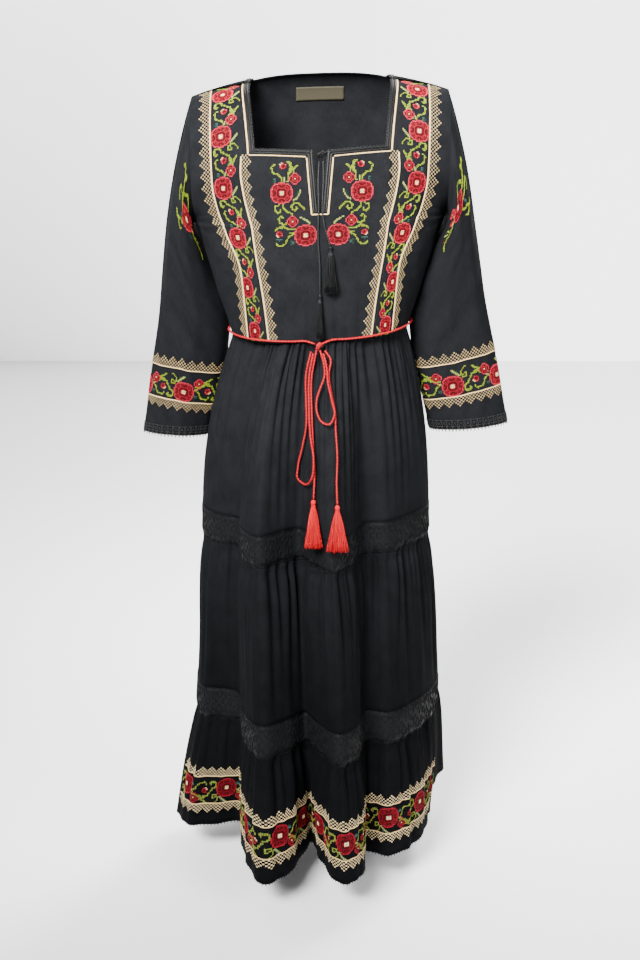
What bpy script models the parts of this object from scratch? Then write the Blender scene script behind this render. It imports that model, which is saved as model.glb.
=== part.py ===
"""A long black folk dress, filled out as worn: square neck with a laced slit, set-in sleeves, shoulder-to-waist bands,
a corded waist and three gathered skirt tiers joined by crochet lace.

Frame: X is the wearer's left, the front faces -Y, +Z is up, and the origin lies midway between the shoulders at the
neck. Every panel is a thin wall laid on one of three surfaces: the bodice, the sleeve and the skirt."""

import math

import bpy
import numpy as np

# Cloth, in metres
WALL = 0.0015
SEAM_GAP = 0.0003
HALF_GAP = SEAM_GAP / 2

# Bodice
ARMHOLE_X = 0.197
ARMHOLE_MIDDLE_Z = -0.106
ARMHOLE_HALF_HEIGHT = 0.094
ARMHOLE_HALF_DEPTH = 0.070
WAIST_Z = -0.3765
SQUARENESS = 0.22
UPPER_WIDENING = 0.22

# Neck
NECKLINE_Z = -0.0955
NECKLINE_DIP = 0.006
SHOULDER_NECK_HALF = 0.117
BACK_NECK_HALF = 0.1125
BACK_NECK_ROW = 0.25
SLIT_BOTTOM_Z = -0.184
SLIT_TOP_HALF = 0.019
SLIT_BOTTOM_HALF = 0.011
EDGING_WIDTH = 0.0075
LABEL_HALF_WIDTH = 0.038
LABEL_TOP_ROW = 0.36
LABEL_BOTTOM_ROW = 0.425
LABEL_THICKNESS = 0.001
LABEL_STAND_OFF = 0.0007

# Skirt levels
LACE_1_TOP_Z = -0.680
LACE_1_BOTTOM_Z = -0.731
LACE_2_TOP_Z = -0.986
LACE_2_BOTTOM_Z = -1.042
HEM_Z = -1.2345
HEM_EDGING_Z = -1.2385
FRONT_WAVES = 13
BACK_WAVES = 9
COLUMNS_PER_WAVE = 4
GATHER_HEIGHT = 0.0034
GATHER_REACH = 0.085
PUFF = 0.006
PUFF_REACH = 0.07

# Belt and neck tie
BELT_RADIUS = 0.00175
BELT_Z = -0.3712
BELT_POINTS = 48
BELT_EASE = 0.0009
KNOT_X = -0.0020
KNOT_Z = -0.3790
KNOT_RADII = (0.0062, 0.0045, 0.0068)
TIE_RADIUS = 0.00125
TIE_POINTS = 14
TIE_KNOT_X = 0.0015
TIE_KNOT_Z = -0.0985
TIE_KNOT_RADII = (0.0092, 0.0040, 0.0060)
CORD_REST = 0.004

# The whole dress hangs a little askew: rise per metre towards +X, and the knot pulls the belt's front down
LEAN_COLUMNS = ("z", "rise")
LEAN = (
    (0.05, 0.028),
    (-0.20, 0.030),
    (-0.37, 0.048),
    (-0.55, 0.025),
    (-0.75, 0.000),
    (-1.30, 0.000),
)
BELT_SAG = 0.008
BELT_SAG_REACH = 0.075

# Front and back of the bodice along the middle: row 0 is the shoulder seam, 1 the underarm, 2 the waist
MIDDLE_COLUMNS = ("row", "front_y", "front_z", "back_y", "back_z")
MIDDLE = (
    (0.00, 0.000, 0.012, 0.000, 0.012),
    (0.15, -0.036, 0.004, 0.030, 0.017),
    (0.25, -0.056, -0.012, 0.055, 0.016),
    (0.35, -0.075, -0.036, 0.074, -0.002),
    (0.50, -0.096, -0.084, 0.089, -0.055),
    (0.70, -0.108, -0.146, 0.097, -0.128),
    (1.00, -0.113, -0.200, 0.100, -0.200),
    (1.40, -0.114, -0.268, 0.096, -0.268),
    (1.75, -0.108, -0.332, 0.090, -0.332),
    (2.00, -0.103, -0.3765, 0.087, -0.3765),
)

# Half-width of the bodice at its side seam
SIDE_COLUMNS = ("row", "half_width")
SIDE = (
    (1.00, 0.197),
    (1.25, 0.182),
    (1.60, 0.163),
    (1.85, 0.148),
    (2.00, 0.140),
)

# Embroidered band: its two long edges, as distances from the middle
BAND_COLUMNS = ("z", "inner", "outer")
BAND = (
    (0.000, 0.1170, 0.167),
    (-0.060, 0.1095, 0.166),
    (-0.0975, 0.1065, 0.165),
    (-0.140, 0.1080, 0.163),
    (-0.184, 0.1065, 0.154),
    (-0.212, 0.1030, 0.1435),
    (-0.268, 0.0940, 0.121),
    (-0.320, 0.0865, 0.1155),
    (-0.3765, 0.0800, 0.111),
)

# Sleeve rings from the armhole to the cuff, for the sleeve at +X: outer and inner point, half-depth, middle in Y
SLEEVE_COLUMNS = ("outer_x", "outer_z", "inner_x", "inner_z", "half_depth", "middle_y")
SLEEVE = (
    (0.1973, -0.012, 0.1973, -0.2000, 0.070, 0.000),
    (0.2080, -0.043, 0.2005, -0.2075, 0.074, 0.000),
    (0.2185, -0.083, 0.1995, -0.2150, 0.078, 0.001),
    (0.2290, -0.128, 0.1960, -0.2240, 0.080, 0.003),
    (0.2385, -0.178, 0.1905, -0.2380, 0.079, 0.006),
    (0.2470, -0.230, 0.1825, -0.2620, 0.073, 0.010),
    (0.2560, -0.288, 0.1690, -0.3010, 0.063, 0.015),
    (0.2650, -0.348, 0.1570, -0.3540, 0.053, 0.022),
    (0.2790, -0.420, 0.1640, -0.4260, 0.045, 0.033),
    (0.2900, -0.482, 0.1710, -0.4890, 0.042, 0.044),
    (0.3010, -0.5425, 0.1775, -0.5505, 0.041, 0.055),
)
SLEEVE_SWING = 0.0075
SLEEVE_PUSH_BACK = {"left": 0.0, "right": 0.028}
SLEEVE_NARROWING = {"left": 0.002, "right": 0.004}
SLEEVE_DROP = {"left": 0.005, "right": 0.011}
SLEEVE_COLUMN_COUNT = 22
CUFF_EDGING = 0.004

# Fold lines of the skirt, all round from the seam at -X: place on the waist, then X and Y at both laces and the hem
FOLD_COLUMNS = ("waist_deg", "lace_1_x", "lace_1_y", "lace_2_x", "lace_2_y", "hem_x", "hem_y")
FOLDS = {
    "seam_right": (-90, -0.195, 0.045, -0.207, 0.035, -0.247, 0.040),
    "a_ridge": (-67, -0.177, -0.006, -0.193, -0.008, -0.222, -0.014),
    "a_middle": (-51, -0.153, -0.032, -0.161, -0.014, -0.181, -0.010),
    "ab_valley": (-38, -0.132, -0.044, -0.135, -0.030, -0.138, -0.002),
    "b_left": (-32, -0.1245, -0.105, -0.124, -0.115, -0.127, -0.110),
    "b_ridge": (-24, -0.096, -0.156, -0.092, -0.182, -0.090, -0.228),
    "b_right": (-15, -0.060, -0.127, -0.051, -0.152, -0.046, -0.180),
    "bc_valley": (-7, -0.033, -0.110, -0.023, -0.120, -0.015, -0.078),
    "c_left": (-1, -0.010, -0.152, -0.001, -0.165, 0.003, -0.150),
    "c_ridge": (7, 0.018, -0.184, 0.031, -0.212, 0.036, -0.228),
    "c_right": (16, 0.046, -0.145, 0.059, -0.180, 0.067, -0.198),
    "cd_valley": (24, 0.072, -0.078, 0.074, -0.112, 0.077, -0.114),
    "d_ridge": (37, 0.108, -0.072, 0.111, -0.121, 0.115, -0.128),
    "d_middle": (56, 0.147, -0.026, 0.157, -0.070, 0.165, -0.069),
    "d_edge": (74, 0.172, 0.014, 0.188, -0.004, 0.185, 0.008),
    "seam_left": (90, 0.181, 0.055, 0.200, 0.048, 0.190, 0.070),
    "de_valley": (107, 0.176, 0.096, 0.196, 0.105, 0.196, 0.130),
    "e_ridge": (124, 0.158, 0.140, 0.203, 0.170, 0.224, 0.228),
    "e_valley": (142, 0.118, 0.150, 0.140, 0.165, 0.150, 0.172),
    "f_ridge": (158, 0.080, 0.182, 0.090, 0.217, 0.093, 0.248),
    "f_valley": (172, 0.035, 0.165, 0.038, 0.176, 0.040, 0.180),
    "g_ridge": (187, -0.015, 0.186, -0.018, 0.224, -0.018, 0.252),
    "g_valley": (202, -0.062, 0.164, -0.070, 0.175, -0.075, 0.180),
    "h_ridge": (217, -0.108, 0.170, -0.122, 0.203, -0.132, 0.235),
    "h_valley": (232, -0.150, 0.130, -0.162, 0.140, -0.180, 0.148),
    "i_ridge": (251, -0.185, 0.098, -0.204, 0.108, -0.236, 0.122),
}
FOLD_NAMES = list(FOLDS)
FRONT_SPAN = FOLD_NAMES.index("seam_left")
FLARE_ACROSS = 2.2
FLARE_OUT = 1.5

# Routes of the hanging belt cords: X, Z and how far the cord's middle stands off the cloth
ROUTE_COLUMNS = ("x", "z", "off")
BOW_ROUTES = {
    "belt_end_right": (
        (-0.0055, -0.3858, 0.0034),
        (-0.0125, -0.4250, 0.0024),
        (-0.0125, -0.4900, 0.0024),
        (-0.0105, -0.5400, 0.0024),
        (-0.0085, -0.5800, 0.0024),
        (-0.0100, -0.6190, 0.0024),
    ),
    "belt_loop_right": (
        (-0.0140, -0.3880, 0.0026),
        (-0.0215, -0.4250, 0.0026),
        (-0.0215, -0.4700, 0.0026),
        (-0.0210, -0.5050, 0.0026),
        (-0.0275, -0.5450, 0.0026),
        (-0.0345, -0.5790, 0.0026),
        (-0.0345, -0.5970, 0.0050),
        (-0.0240, -0.6010, 0.0075),
        (-0.0142, -0.5890, 0.0105),
        (-0.0100, -0.5600, 0.0115),
        (-0.0150, -0.5200, 0.0112),
        (-0.0172, -0.4700, 0.0092),
        (-0.0165, -0.4250, 0.0078),
        (-0.0105, -0.3900, 0.0078),
    ),
    "belt_end_left": (
        (0.0075, -0.3870, 0.0024),
        (0.0160, -0.4000, 0.0024),
        (0.0135, -0.4230, 0.0024),
        (0.0170, -0.4530, 0.0024),
        (0.0225, -0.4800, 0.0024),
        (0.0240, -0.5100, 0.0024),
        (0.0265, -0.5500, 0.0024),
        (0.0255, -0.5900, 0.0024),
        (0.0265, -0.6220, 0.0024),
    ),
    "belt_loop_left": (
        (0.0000, -0.3860, 0.0040),
        (0.0060, -0.4080, 0.0026),
        (0.0072, -0.4250, 0.0026),
        (0.0000, -0.4480, 0.0020),
        (-0.0050, -0.4650, 0.0024),
        (-0.0045, -0.4850, 0.0040),
        (0.0040, -0.4990, 0.0065),
        (0.0140, -0.5010, 0.0078),
        (0.0215, -0.4900, 0.0078),
        (0.0180, -0.4650, 0.0078),
        (0.0120, -0.4350, 0.0078),
        (0.0100, -0.4100, 0.0078),
        (0.0050, -0.3900, 0.0078),
    ),
}
ROUTE_POINTS = {"belt_end_right": 13, "belt_loop_right": 26, "belt_end_left": 15, "belt_loop_left": 20}
TIE_ROUTES = {
    "neck_tie_end_right": (
        (-0.0015, -0.1080, 0.0000),
        (-0.0030, -0.1350, 0.0012),
        (-0.0024, -0.1580, 0.0032),
        (-0.0022, -0.1800, 0.0032),
        (-0.0030, -0.2200, 0.0030),
        (-0.0005, -0.2600, 0.0030),
        (0.0000, -0.3020, 0.0030),
    ),
    "neck_tie_end_left": (
        (0.0045, -0.1080, 0.0000),
        (0.0050, -0.1350, 0.0012),
        (0.0040, -0.1580, 0.0032),
        (0.0035, -0.1800, 0.0032),
        (0.0080, -0.2080, 0.0030),
        (0.0150, -0.2325, 0.0030),
    ),
}

# Tassels: head middle (X, Z and stand-off), head radius, strand length and spread
TASSEL_COLUMNS = ("x", "z", "off", "head", "length", "spread", "colour")
TASSELS = {
    "belt_tassel_right": (-0.0102, -0.6240, 0.0046, 0.0042, 0.064, 0.0150, "coral"),
    "belt_tassel_left": (0.0267, -0.6270, 0.0046, 0.0042, 0.064, 0.0185, "coral"),
    "neck_tassel_right": (0.0000, -0.3057, 0.0034, 0.0030, 0.062, 0.0055, "cord_black"),
    "neck_tassel_left": (0.0160, -0.2362, 0.0034, 0.0030, 0.066, 0.0110, "cord_black"),
}
STRANDS = 11
STRAND_RADIUS = 0.0011
STRAND_DEPTH = 0.35
STRAND_CLEAR = 0.0016

COLOURS = {
    "cotton": ((0.016, 0.017, 0.019), 0.85),
    "lace": ((0.008, 0.008, 0.009), 0.95),
    "edging": ((0.010, 0.010, 0.011), 0.9),
    "cord_black": ((0.009, 0.009, 0.010), 0.7),
    "coral": ((0.72, 0.06, 0.06), 0.7),
    "label": ((0.27, 0.23, 0.15), 0.8),
}


def column(table, columns, name):
    """One named column of a table, as an array."""
    place = columns.index(name)
    return np.array([row[place] for row in table], dtype=float)


def smooth_read(keys, values, at):
    """Reads a smooth curve through (keys, values) without overshoot, at any places."""
    keys = np.asarray(keys, dtype=float)
    values = np.asarray(values, dtype=float)
    if keys[0] > keys[-1]:
        keys = keys[::-1]
        values = values[::-1]
    steps = np.diff(keys)
    slopes = np.diff(values) / steps
    tangents = np.empty(len(keys))
    tangents[0] = slopes[0]
    tangents[-1] = slopes[-1]
    same_way = slopes[:-1] * slopes[1:] > 0
    mean = 2 * slopes[:-1] * slopes[1:] / np.where(same_way, slopes[:-1] + slopes[1:], 1.0)
    tangents[1:-1] = np.where(same_way, mean, 0.0)
    at = np.clip(np.asarray(at, dtype=float), keys[0], keys[-1])
    span = np.clip(np.searchsorted(keys, at, side="right") - 1, 0, len(steps) - 1)
    width = steps[span]
    t = (at - keys[span]) / width
    return (
        (1 + 2 * t) * (1 - t) ** 2 * values[span]
        + t * (1 - t) ** 2 * width * tangents[span]
        + t * t * (3 - 2 * t) * values[span + 1]
        + t * t * (t - 1) * width * tangents[span + 1]
    )


def unit(vectors):
    """Each vector at length one."""
    lengths = np.linalg.norm(vectors, axis=-1, keepdims=True)
    return vectors / np.maximum(lengths, 1e-12)


def hang(points):
    """The finished place of points: the slight lean of the dress and the dip of its belt."""
    points = np.array(points, dtype=float)
    x = points[..., 0]
    y = points[..., 1]
    z = points[..., 2]
    lean = smooth_read(column(LEAN, LEAN_COLUMNS, "z"), column(LEAN, LEAN_COLUMNS, "rise"), z)
    frontness = np.clip(-y / 0.104, 0.0, 1.0) ** 2
    dip = BELT_SAG * np.exp(-(((z - BELT_Z) / BELT_SAG_REACH) ** 2)) * frontness
    points[..., 2] = z + lean * x - dip
    return points


def middle_line(side, what, row):
    """Y or Z of the bodice's front or back middle at a row."""
    keys = column(MIDDLE, MIDDLE_COLUMNS, "row")
    return smooth_read(keys, column(MIDDLE, MIDDLE_COLUMNS, f"{side}_{what}"), row)


def bodice_edge(side, row):
    """The outer boundary of the bodice at a row: round the armhole, then down the side seam."""
    row = np.asarray(row, dtype=float)
    turn = math.pi * np.clip(row, 0.0, 1.0)
    sign = -1.0 if side == "front" else 1.0
    half_width = smooth_read(column(SIDE, SIDE_COLUMNS, "row"), column(SIDE, SIDE_COLUMNS, "half_width"), row)
    x = np.where(row < 1.0, ARMHOLE_X, half_width)
    y = sign * ARMHOLE_HALF_DEPTH * np.sin(turn)
    armhole_z = ARMHOLE_MIDDLE_Z + ARMHOLE_HALF_HEIGHT * np.cos(turn)
    z = np.where(row < 1.0, armhole_z, middle_line(side, "z", row))
    return x, y, z


def bodice(side, turn, row):
    """A point of the bodice: turn runs from -90 degrees at one side to 90 at the other, 0 in the middle."""
    turn, row = np.broadcast_arrays(np.asarray(turn, dtype=float), np.asarray(row, dtype=float))
    edge_x, edge_y, edge_z = bodice_edge(side, row)
    across = np.sin(turn)
    widening = 1.0 + UPPER_WIDENING * np.clip((1.0 - row) / 0.35, 0.0, 1.0)
    inside = across / widening
    depth = np.sqrt(np.clip(1 - inside**2, 0, 1)) * (1 + SQUARENESS * inside**2)
    limit = np.sqrt(np.clip(1 - widening**-2, 0, 1)) * (1 + SQUARENESS * widening**-2)
    share = np.where(widening > 1.0001, (depth - limit) / (1 - limit), np.cos(turn) * (1 + SQUARENESS * across**2))
    middle_y = middle_line(side, "y", row)
    middle_z = middle_line(side, "z", row)
    fall = 2.0 if side == "front" else 3.0
    x = edge_x * across
    y = edge_y + (middle_y - edge_y) * share
    z = middle_z + (edge_z - middle_z) * np.abs(across) ** fall
    return np.stack([x, y, z], axis=-1)


def bodice_facing(side, turn, row):
    """The outward direction of the bodice at a point."""
    step = 1e-4
    turn, row = np.broadcast_arrays(np.asarray(turn, dtype=float), np.asarray(row, dtype=float))
    low = np.clip(turn - step, -math.pi / 2, math.pi / 2)
    high = np.clip(turn + step, -math.pi / 2, math.pi / 2)
    above = np.clip(row - step, 0.0, 2.0)
    below = np.clip(row + step, 0.0, 2.0)
    along = bodice(side, high, row) - bodice(side, low, row)
    down = bodice(side, turn, below) - bodice(side, turn, above)
    facing = unit(np.cross(down, along))
    return facing if side == "front" else -facing


def turn_at(side, x, row):
    """The turn whose point has the distance x from the middle."""
    edge_x = bodice_edge(side, row)[0]
    return np.arcsin(np.clip(np.asarray(x) / edge_x, -1.0, 1.0))


def row_at(side, x, z):
    """The row whose point at distance x lies at height z."""
    x, z = np.broadcast_arrays(np.asarray(x, dtype=float), np.asarray(z, dtype=float))
    low = np.zeros(x.shape)
    high = np.full(x.shape, 2.0)
    for _ in range(40):
        middle = (low + high) / 2
        height = bodice(side, turn_at(side, x, middle), middle)[..., 2]
        too_high = height > z
        low = np.where(too_high, middle, low)
        high = np.where(too_high, high, middle)
    return (low + high) / 2


def band_edge(which, z):
    """The distance from the middle of the band's inner or outer edge at a height."""
    return smooth_read(column(BAND, BAND_COLUMNS, "z"), column(BAND, BAND_COLUMNS, which), z)


def neckline_z(x):
    """The front neck edge, which dips towards the slit."""
    near_middle = 1 - np.abs(np.asarray(x)) / band_edge("inner", NECKLINE_Z)
    return NECKLINE_Z - NECKLINE_DIP * np.clip(near_middle, 0, 1) ** 1.5


def slit_half(z):
    """Half the width of the slit in the front panel's cloth."""
    share = np.clip((z - NECKLINE_Z) / (SLIT_BOTTOM_Z - NECKLINE_Z), 0, 1)
    return SLIT_TOP_HALF + (SLIT_BOTTOM_HALF - SLIT_TOP_HALF) * share


def material(name):
    """A plain material of the named colour, made once."""
    found = bpy.data.materials.get(name)
    if found:
        return found
    colour, roughness = COLOURS[name]
    made = bpy.data.materials.new(name)
    made.use_nodes = True
    shader = made.node_tree.nodes["Principled BSDF"]
    shader.inputs["Base Color"].default_value = (*colour, 1.0)
    shader.inputs["Roughness"].default_value = roughness
    shader.inputs["Metallic"].default_value = 0.0
    made.diffuse_color = (*colour, 1.0)
    return made


def add_mesh(name, points, faces, finish):
    """One named object from points and faces, hung in its finished place."""
    mesh = bpy.data.meshes.new(name)
    mesh.from_pydata([tuple(map(float, point)) for point in hang(points)], [], faces)
    mesh.shade_smooth()
    mesh.set_sharp_from_angle(angle=math.radians(40))
    made = bpy.data.objects.new(name, mesh)
    bpy.context.scene.collection.objects.link(made)
    mesh.materials.append(material(finish))
    return made


def panel(name, middle, facing, finish, keep=None, closed=False, wall=WALL):
    """A closed wall about a grid of middle points: half its thickness to each side along the facing."""
    rows, columns = middle.shape[:2]
    cells = columns if closed else columns - 1
    if keep is None:
        keep = np.ones((rows - 1, cells), dtype=bool)
    facing = unit(facing)
    middle_row = rows // 2 - 1 if rows > 2 else 0
    down = middle[middle_row + 1, 0] - middle[middle_row, 0]
    along = middle[middle_row, 1] - middle[middle_row, 0]
    outward = np.dot(np.cross(down, along), facing[middle_row, 0]) > 0
    points = np.concatenate([(middle + facing * wall / 2).reshape(-1, 3), (middle - facing * wall / 2).reshape(-1, 3)])
    inner = rows * columns
    faces = []
    edges = {}
    for i in range(rows - 1):
        for j in range(cells):
            if not keep[i, j]:
                continue
            right = (j + 1) % columns
            ring = [i * columns + j, (i + 1) * columns + j, (i + 1) * columns + right, i * columns + right]
            if not outward:
                ring.reverse()
            faces.append(ring)
            faces.append([corner + inner for corner in reversed(ring)])
            for first, second in zip(ring, ring[1:] + ring[:1]):
                edges[(first, second)] = True
    for first, second in list(edges):
        if (second, first) not in edges:
            faces.append([second, first, first + inner, second + inner])
    used = sorted({corner for face in faces for corner in face})
    place = {corner: index for index, corner in enumerate(used)}
    return add_mesh(name, points[used], [[place[corner] for corner in face] for face in faces], finish)


def draw_in(middle, top=0.0, bottom=0.0, first=0.0, last=0.0):
    """Moves a grid's edges towards its inside by the given lengths, along the cloth."""
    moved = middle.copy()
    if first:
        moved[:, 0] += unit(middle[:, 1] - middle[:, 0]) * first
    if last:
        moved[:, -1] += unit(middle[:, -2] - middle[:, -1]) * last
    if top:
        moved[0] += unit(middle[1] - middle[0]) * top
    if bottom:
        moved[-1] += unit(middle[-2] - middle[-1]) * bottom
    return moved


def flatten(facing, axis):
    """The facing with one of its components removed, so that the wall's edge is flat against a seam plane."""
    flat = facing.copy()
    flat[..., axis] = 0.0
    return unit(flat)


def waist_edge(middle, facing):
    """Ends a bodice panel on the level waist seam."""
    middle[-1, :, 2] = WAIST_Z + HALF_GAP
    facing[-1] = flatten(facing[-1], 2)


def armhole_edge(middle, facing, rows, at):
    """Ends a bodice panel's column just short of the sleeve's plane, on the rows that pass the armhole."""
    side = np.sign(middle[0, at, 0])
    clear = HALF_GAP + np.abs(facing[:, at, 0]) * WALL / 2
    by_armhole = rows <= 1.0
    middle[by_armhole, at, 0] -= side * clear[by_armhole]


def side_seam(middle, facing, rows, at, sign):
    """Ends a bodice panel's column on the plane of the side seam below the underarm."""
    below = rows >= 1.0
    middle[below, at, 1] = sign * HALF_GAP
    facing[below, at] = flatten(facing[below, at], 1)


NECK_ROW = float(row_at("front", band_edge("inner", NECKLINE_Z), NECKLINE_Z))
SLIT_ROW = float(row_at("front", band_edge("inner", SLIT_BOTTOM_Z), SLIT_BOTTOM_Z))
BODICE_ROWS = np.array([0, 0.10, 0.19, 0.27, 0.35, 0.43, NECK_ROW, 0.62, 0.72, SLIT_ROW, 1.0, 1.2, 1.45, 1.7, 2.0])


def shoulder_edge(middle, facing, sign):
    """Ends a panel on the shoulder seam's upright plane."""
    middle[0, :, 1] = sign * HALF_GAP
    facing[0] = flatten(facing[0], 1)


def make_front_centre():
    """The middle front between the bands, with the neck slit."""
    shares = np.array([0.0, 0.16, 0.34, 0.52, 0.76, 1.0])
    seam_row, seam_x = band_grid(1.0, np.array([0.0]))
    levels = bodice("front", turn_at("front", seam_x, seam_row), seam_row)[:, 0, 2]
    levels = levels[BODICE_ROWS >= NECK_ROW]
    slit_row = int(np.argmin(np.abs(levels - SLIT_BOTTOM_Z)))
    rows = []
    for level in levels:
        half = slit_half(level)
        right = half + (band_edge("inner", level) - half) * shares
        rows.append(np.concatenate([-right[::-1], right]))
    x = np.array(rows)
    z = np.repeat(levels[:, None], x.shape[1], axis=1)
    z[0] = neckline_z(x[0])
    row = row_at("front", x, z)
    turn = turn_at("front", x, row)
    middle = bodice("front", turn, row)
    facing = bodice_facing("front", turn, row)
    middle = draw_in(middle, top=HALF_GAP, first=HALF_GAP, last=HALF_GAP)
    left_of_slit = len(shares) - 1
    middle[: slit_row + 1, left_of_slit, 0] -= HALF_GAP
    middle[: slit_row + 1, left_of_slit + 1, 0] += HALF_GAP
    waist_edge(middle, facing)
    keep = np.ones((len(levels) - 1, x.shape[1] - 1), dtype=bool)
    keep[:slit_row, left_of_slit] = False
    panel("bodice_front_centre", middle, facing, "cotton", keep)


def band_grid(sign, shares):
    """Rows and distances from the middle across a band, from the shoulder to the waist."""
    row = np.repeat(BODICE_ROWS[:, None], len(shares), axis=1)
    x = np.empty(row.shape)
    for i, at in enumerate(BODICE_ROWS):
        for j, share in enumerate(shares):
            distance = 0.14
            for _ in range(12):
                height = float(bodice("front", turn_at("front", distance, at), at)[2])
                inner = float(band_edge("inner", height))
                outer = float(band_edge("outer", height))
                distance = inner + (outer - inner) * share
            x[i, j] = distance
    order = slice(None) if sign > 0 else slice(None, None, -1)
    return row, sign * x[:, order]


def make_band(name, sign):
    """An embroidered band from the shoulder seam to the waist."""
    row, x = band_grid(sign, np.array([0.0, 1 / 3, 2 / 3, 1.0]))
    turn = turn_at("front", x, row)
    middle = bodice("front", turn, row)
    facing = bodice_facing("front", turn, row)
    middle = draw_in(middle, first=HALF_GAP, last=HALF_GAP)
    shoulder_edge(middle, facing, -1.0)
    waist_edge(middle, facing)
    panel(name, middle, facing, "cotton")


def make_front_side(name, sign):
    """The side front between a band and the armhole and side seam."""
    row, edges = band_grid(sign, np.array([1.0]))
    start = turn_at("front", np.abs(edges[:, 0]), BODICE_ROWS)
    shares = np.array([0.0, 0.25, 0.5, 0.74, 0.9, 1.0])
    turn = sign * (start[:, None] + (math.pi / 2 - start[:, None]) * shares[None, :])
    row = np.repeat(BODICE_ROWS[:, None], len(shares), axis=1)
    middle = bodice("front", turn, row)
    facing = bodice_facing("front", turn, row)
    middle = draw_in(middle, first=HALF_GAP)
    shoulder_edge(middle, facing, -1.0)
    waist_edge(middle, facing)
    side_seam(middle, facing, BODICE_ROWS, -1, -1.0)
    armhole_edge(middle, facing, BODICE_ROWS, -1)
    panel(name, middle, facing, "cotton")


def back_neck_half(row):
    """Half the width of the back neck opening at a row."""
    share = np.clip(np.asarray(row) / BACK_NECK_ROW, 0.0, 1.0)
    return SHOULDER_NECK_HALF + (BACK_NECK_HALF - SHOULDER_NECK_HALF) * share


def make_back():
    """The back in one piece, with its neck opening."""
    kept = BODICE_ROWS[(BODICE_ROWS < 0.2) | (BODICE_ROWS > 0.4)]
    rows = np.unique(np.concatenate([kept, [BACK_NECK_ROW, 0.30, LABEL_TOP_ROW, LABEL_BOTTOM_ROW]]))
    neck_row = int(np.where(rows == BACK_NECK_ROW)[0][0])
    neck_half = back_neck_half(rows)
    neck_turn = turn_at("back", neck_half, np.minimum(rows, 1.0))
    inner = np.linspace(-1.0, 1.0, 9)
    outer = np.array([0.25, 0.5, 0.74, 0.9, 1.0])
    turns = []
    for start in neck_turn:
        right = start + (math.pi / 2 - start) * outer
        turns.append(np.concatenate([-right[::-1], start * inner, right]))
    turn = np.array(turns)
    row = np.repeat(rows[:, None], turn.shape[1], axis=1)
    middle = bodice("back", turn, row)
    facing = bodice_facing("back", turn, row)
    first = len(outer)
    last = first + len(inner) - 1
    shoulder_edge(middle, facing, 1.0)
    waist_edge(middle, facing)
    for at in (0, -1):
        side_seam(middle, facing, rows, at, 1.0)
        armhole_edge(middle, facing, rows, at)
    middle[: neck_row + 1, first, 0] -= HALF_GAP
    middle[: neck_row + 1, last, 0] += HALF_GAP
    keep = np.ones((len(rows) - 1, turn.shape[1] - 1), dtype=bool)
    keep[:neck_row, first:last] = False
    panel("bodice_back", middle, facing, "cotton", keep)


def neck_edge_points(sign):
    """The cloth's neck edge and slit edge on one side as (side, x, row) triples, with the edging's inner line."""
    outer = []
    inner = []
    for row in (BACK_NECK_ROW, 0.12):
        half = float(back_neck_half(row))
        outer.append(("back", half, row))
        inner.append(("back", half - EDGING_WIDTH, row))
    for row in (0.0, 0.10, 0.19, 0.27, 0.36, 0.46):
        height = float(bodice("front", turn_at("front", 0.114, row), row)[2])
        half = float(band_edge("inner", height))
        outer.append(("front", half, row))
        inner.append(("front", half - EDGING_WIDTH, row))
    corner = float(band_edge("inner", NECKLINE_Z))
    along_neck = (corner, 0.085, 0.062, 0.040, SLIT_TOP_HALF)
    for half in along_neck:
        edge = float(neckline_z(half))
        reach = half - EDGING_WIDTH if half in (corner, SLIT_TOP_HALF) else half
        outer.append(("front", half, float(row_at("front", half, edge))))
        inner.append(("front", reach, float(row_at("front", reach, edge + EDGING_WIDTH))))
    for height in (-0.128, -0.156, SLIT_BOTTOM_Z + 0.001):
        half = float(slit_half(height))
        outer.append(("front", half, float(row_at("front", half, height))))
        inner.append(("front", half - EDGING_WIDTH, float(row_at("front", half - EDGING_WIDTH, height))))
    return outer, inner


def make_neck_edging(name, sign):
    """The crochet edging of one half of the neck, from the back corner round to the bottom of the slit."""
    lines = neck_edge_points(sign)
    middle = np.empty((2, len(lines[0]), 3))
    facing = np.empty((2, len(lines[0]), 3))
    for line, entries in enumerate(lines):
        for at, (side, half, row) in enumerate(entries):
            turn = sign * float(turn_at(side, half, row))
            middle[line, at] = bodice(side, turn, row)
            facing[line, at] = bodice_facing(side, turn, row)
    towards = unit(middle[1] - middle[0])
    middle[0] += towards * HALF_GAP
    panel(name, middle, facing, "edging")


def sleeve_rings(side, turns, stations):
    """Points of a sleeve: a ring for each station along the ring table, 0 at the armhole."""
    sign = 1.0 if side == "left" else -1.0
    keys = np.arange(len(SLEEVE))
    read = {name: smooth_read(keys, column(SLEEVE, SLEEVE_COLUMNS, name), stations) for name in SLEEVE_COLUMNS}
    down = np.clip((-0.2 - read["outer_z"]) / 0.34, 0.0, 1.0)
    hung = down**1.2
    outer_x = read["outer_x"] + sign * SLEEVE_SWING * hung
    inner_x = read["inner_x"] + SLEEVE_NARROWING[side] * hung
    middle_y = read["middle_y"] + SLEEVE_PUSH_BACK[side] * hung
    centre_x = (outer_x + inner_x) / 2
    centre_z = (read["outer_z"] + read["inner_z"]) / 2 - SLEEVE_DROP[side] * hung
    reach_x = (outer_x - inner_x) / 2
    reach_z = (read["outer_z"] - read["inner_z"]) / 2
    cosine = np.cos(turns)[None, :]
    sine = np.sin(turns)[None, :]
    x = centre_x[:, None] + reach_x[:, None] * cosine
    y = middle_y[:, None] - read["half_depth"][:, None] * sine
    z = centre_z[:, None] + reach_z[:, None] * cosine
    return np.stack([sign * x, y, z], axis=-1)


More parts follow.
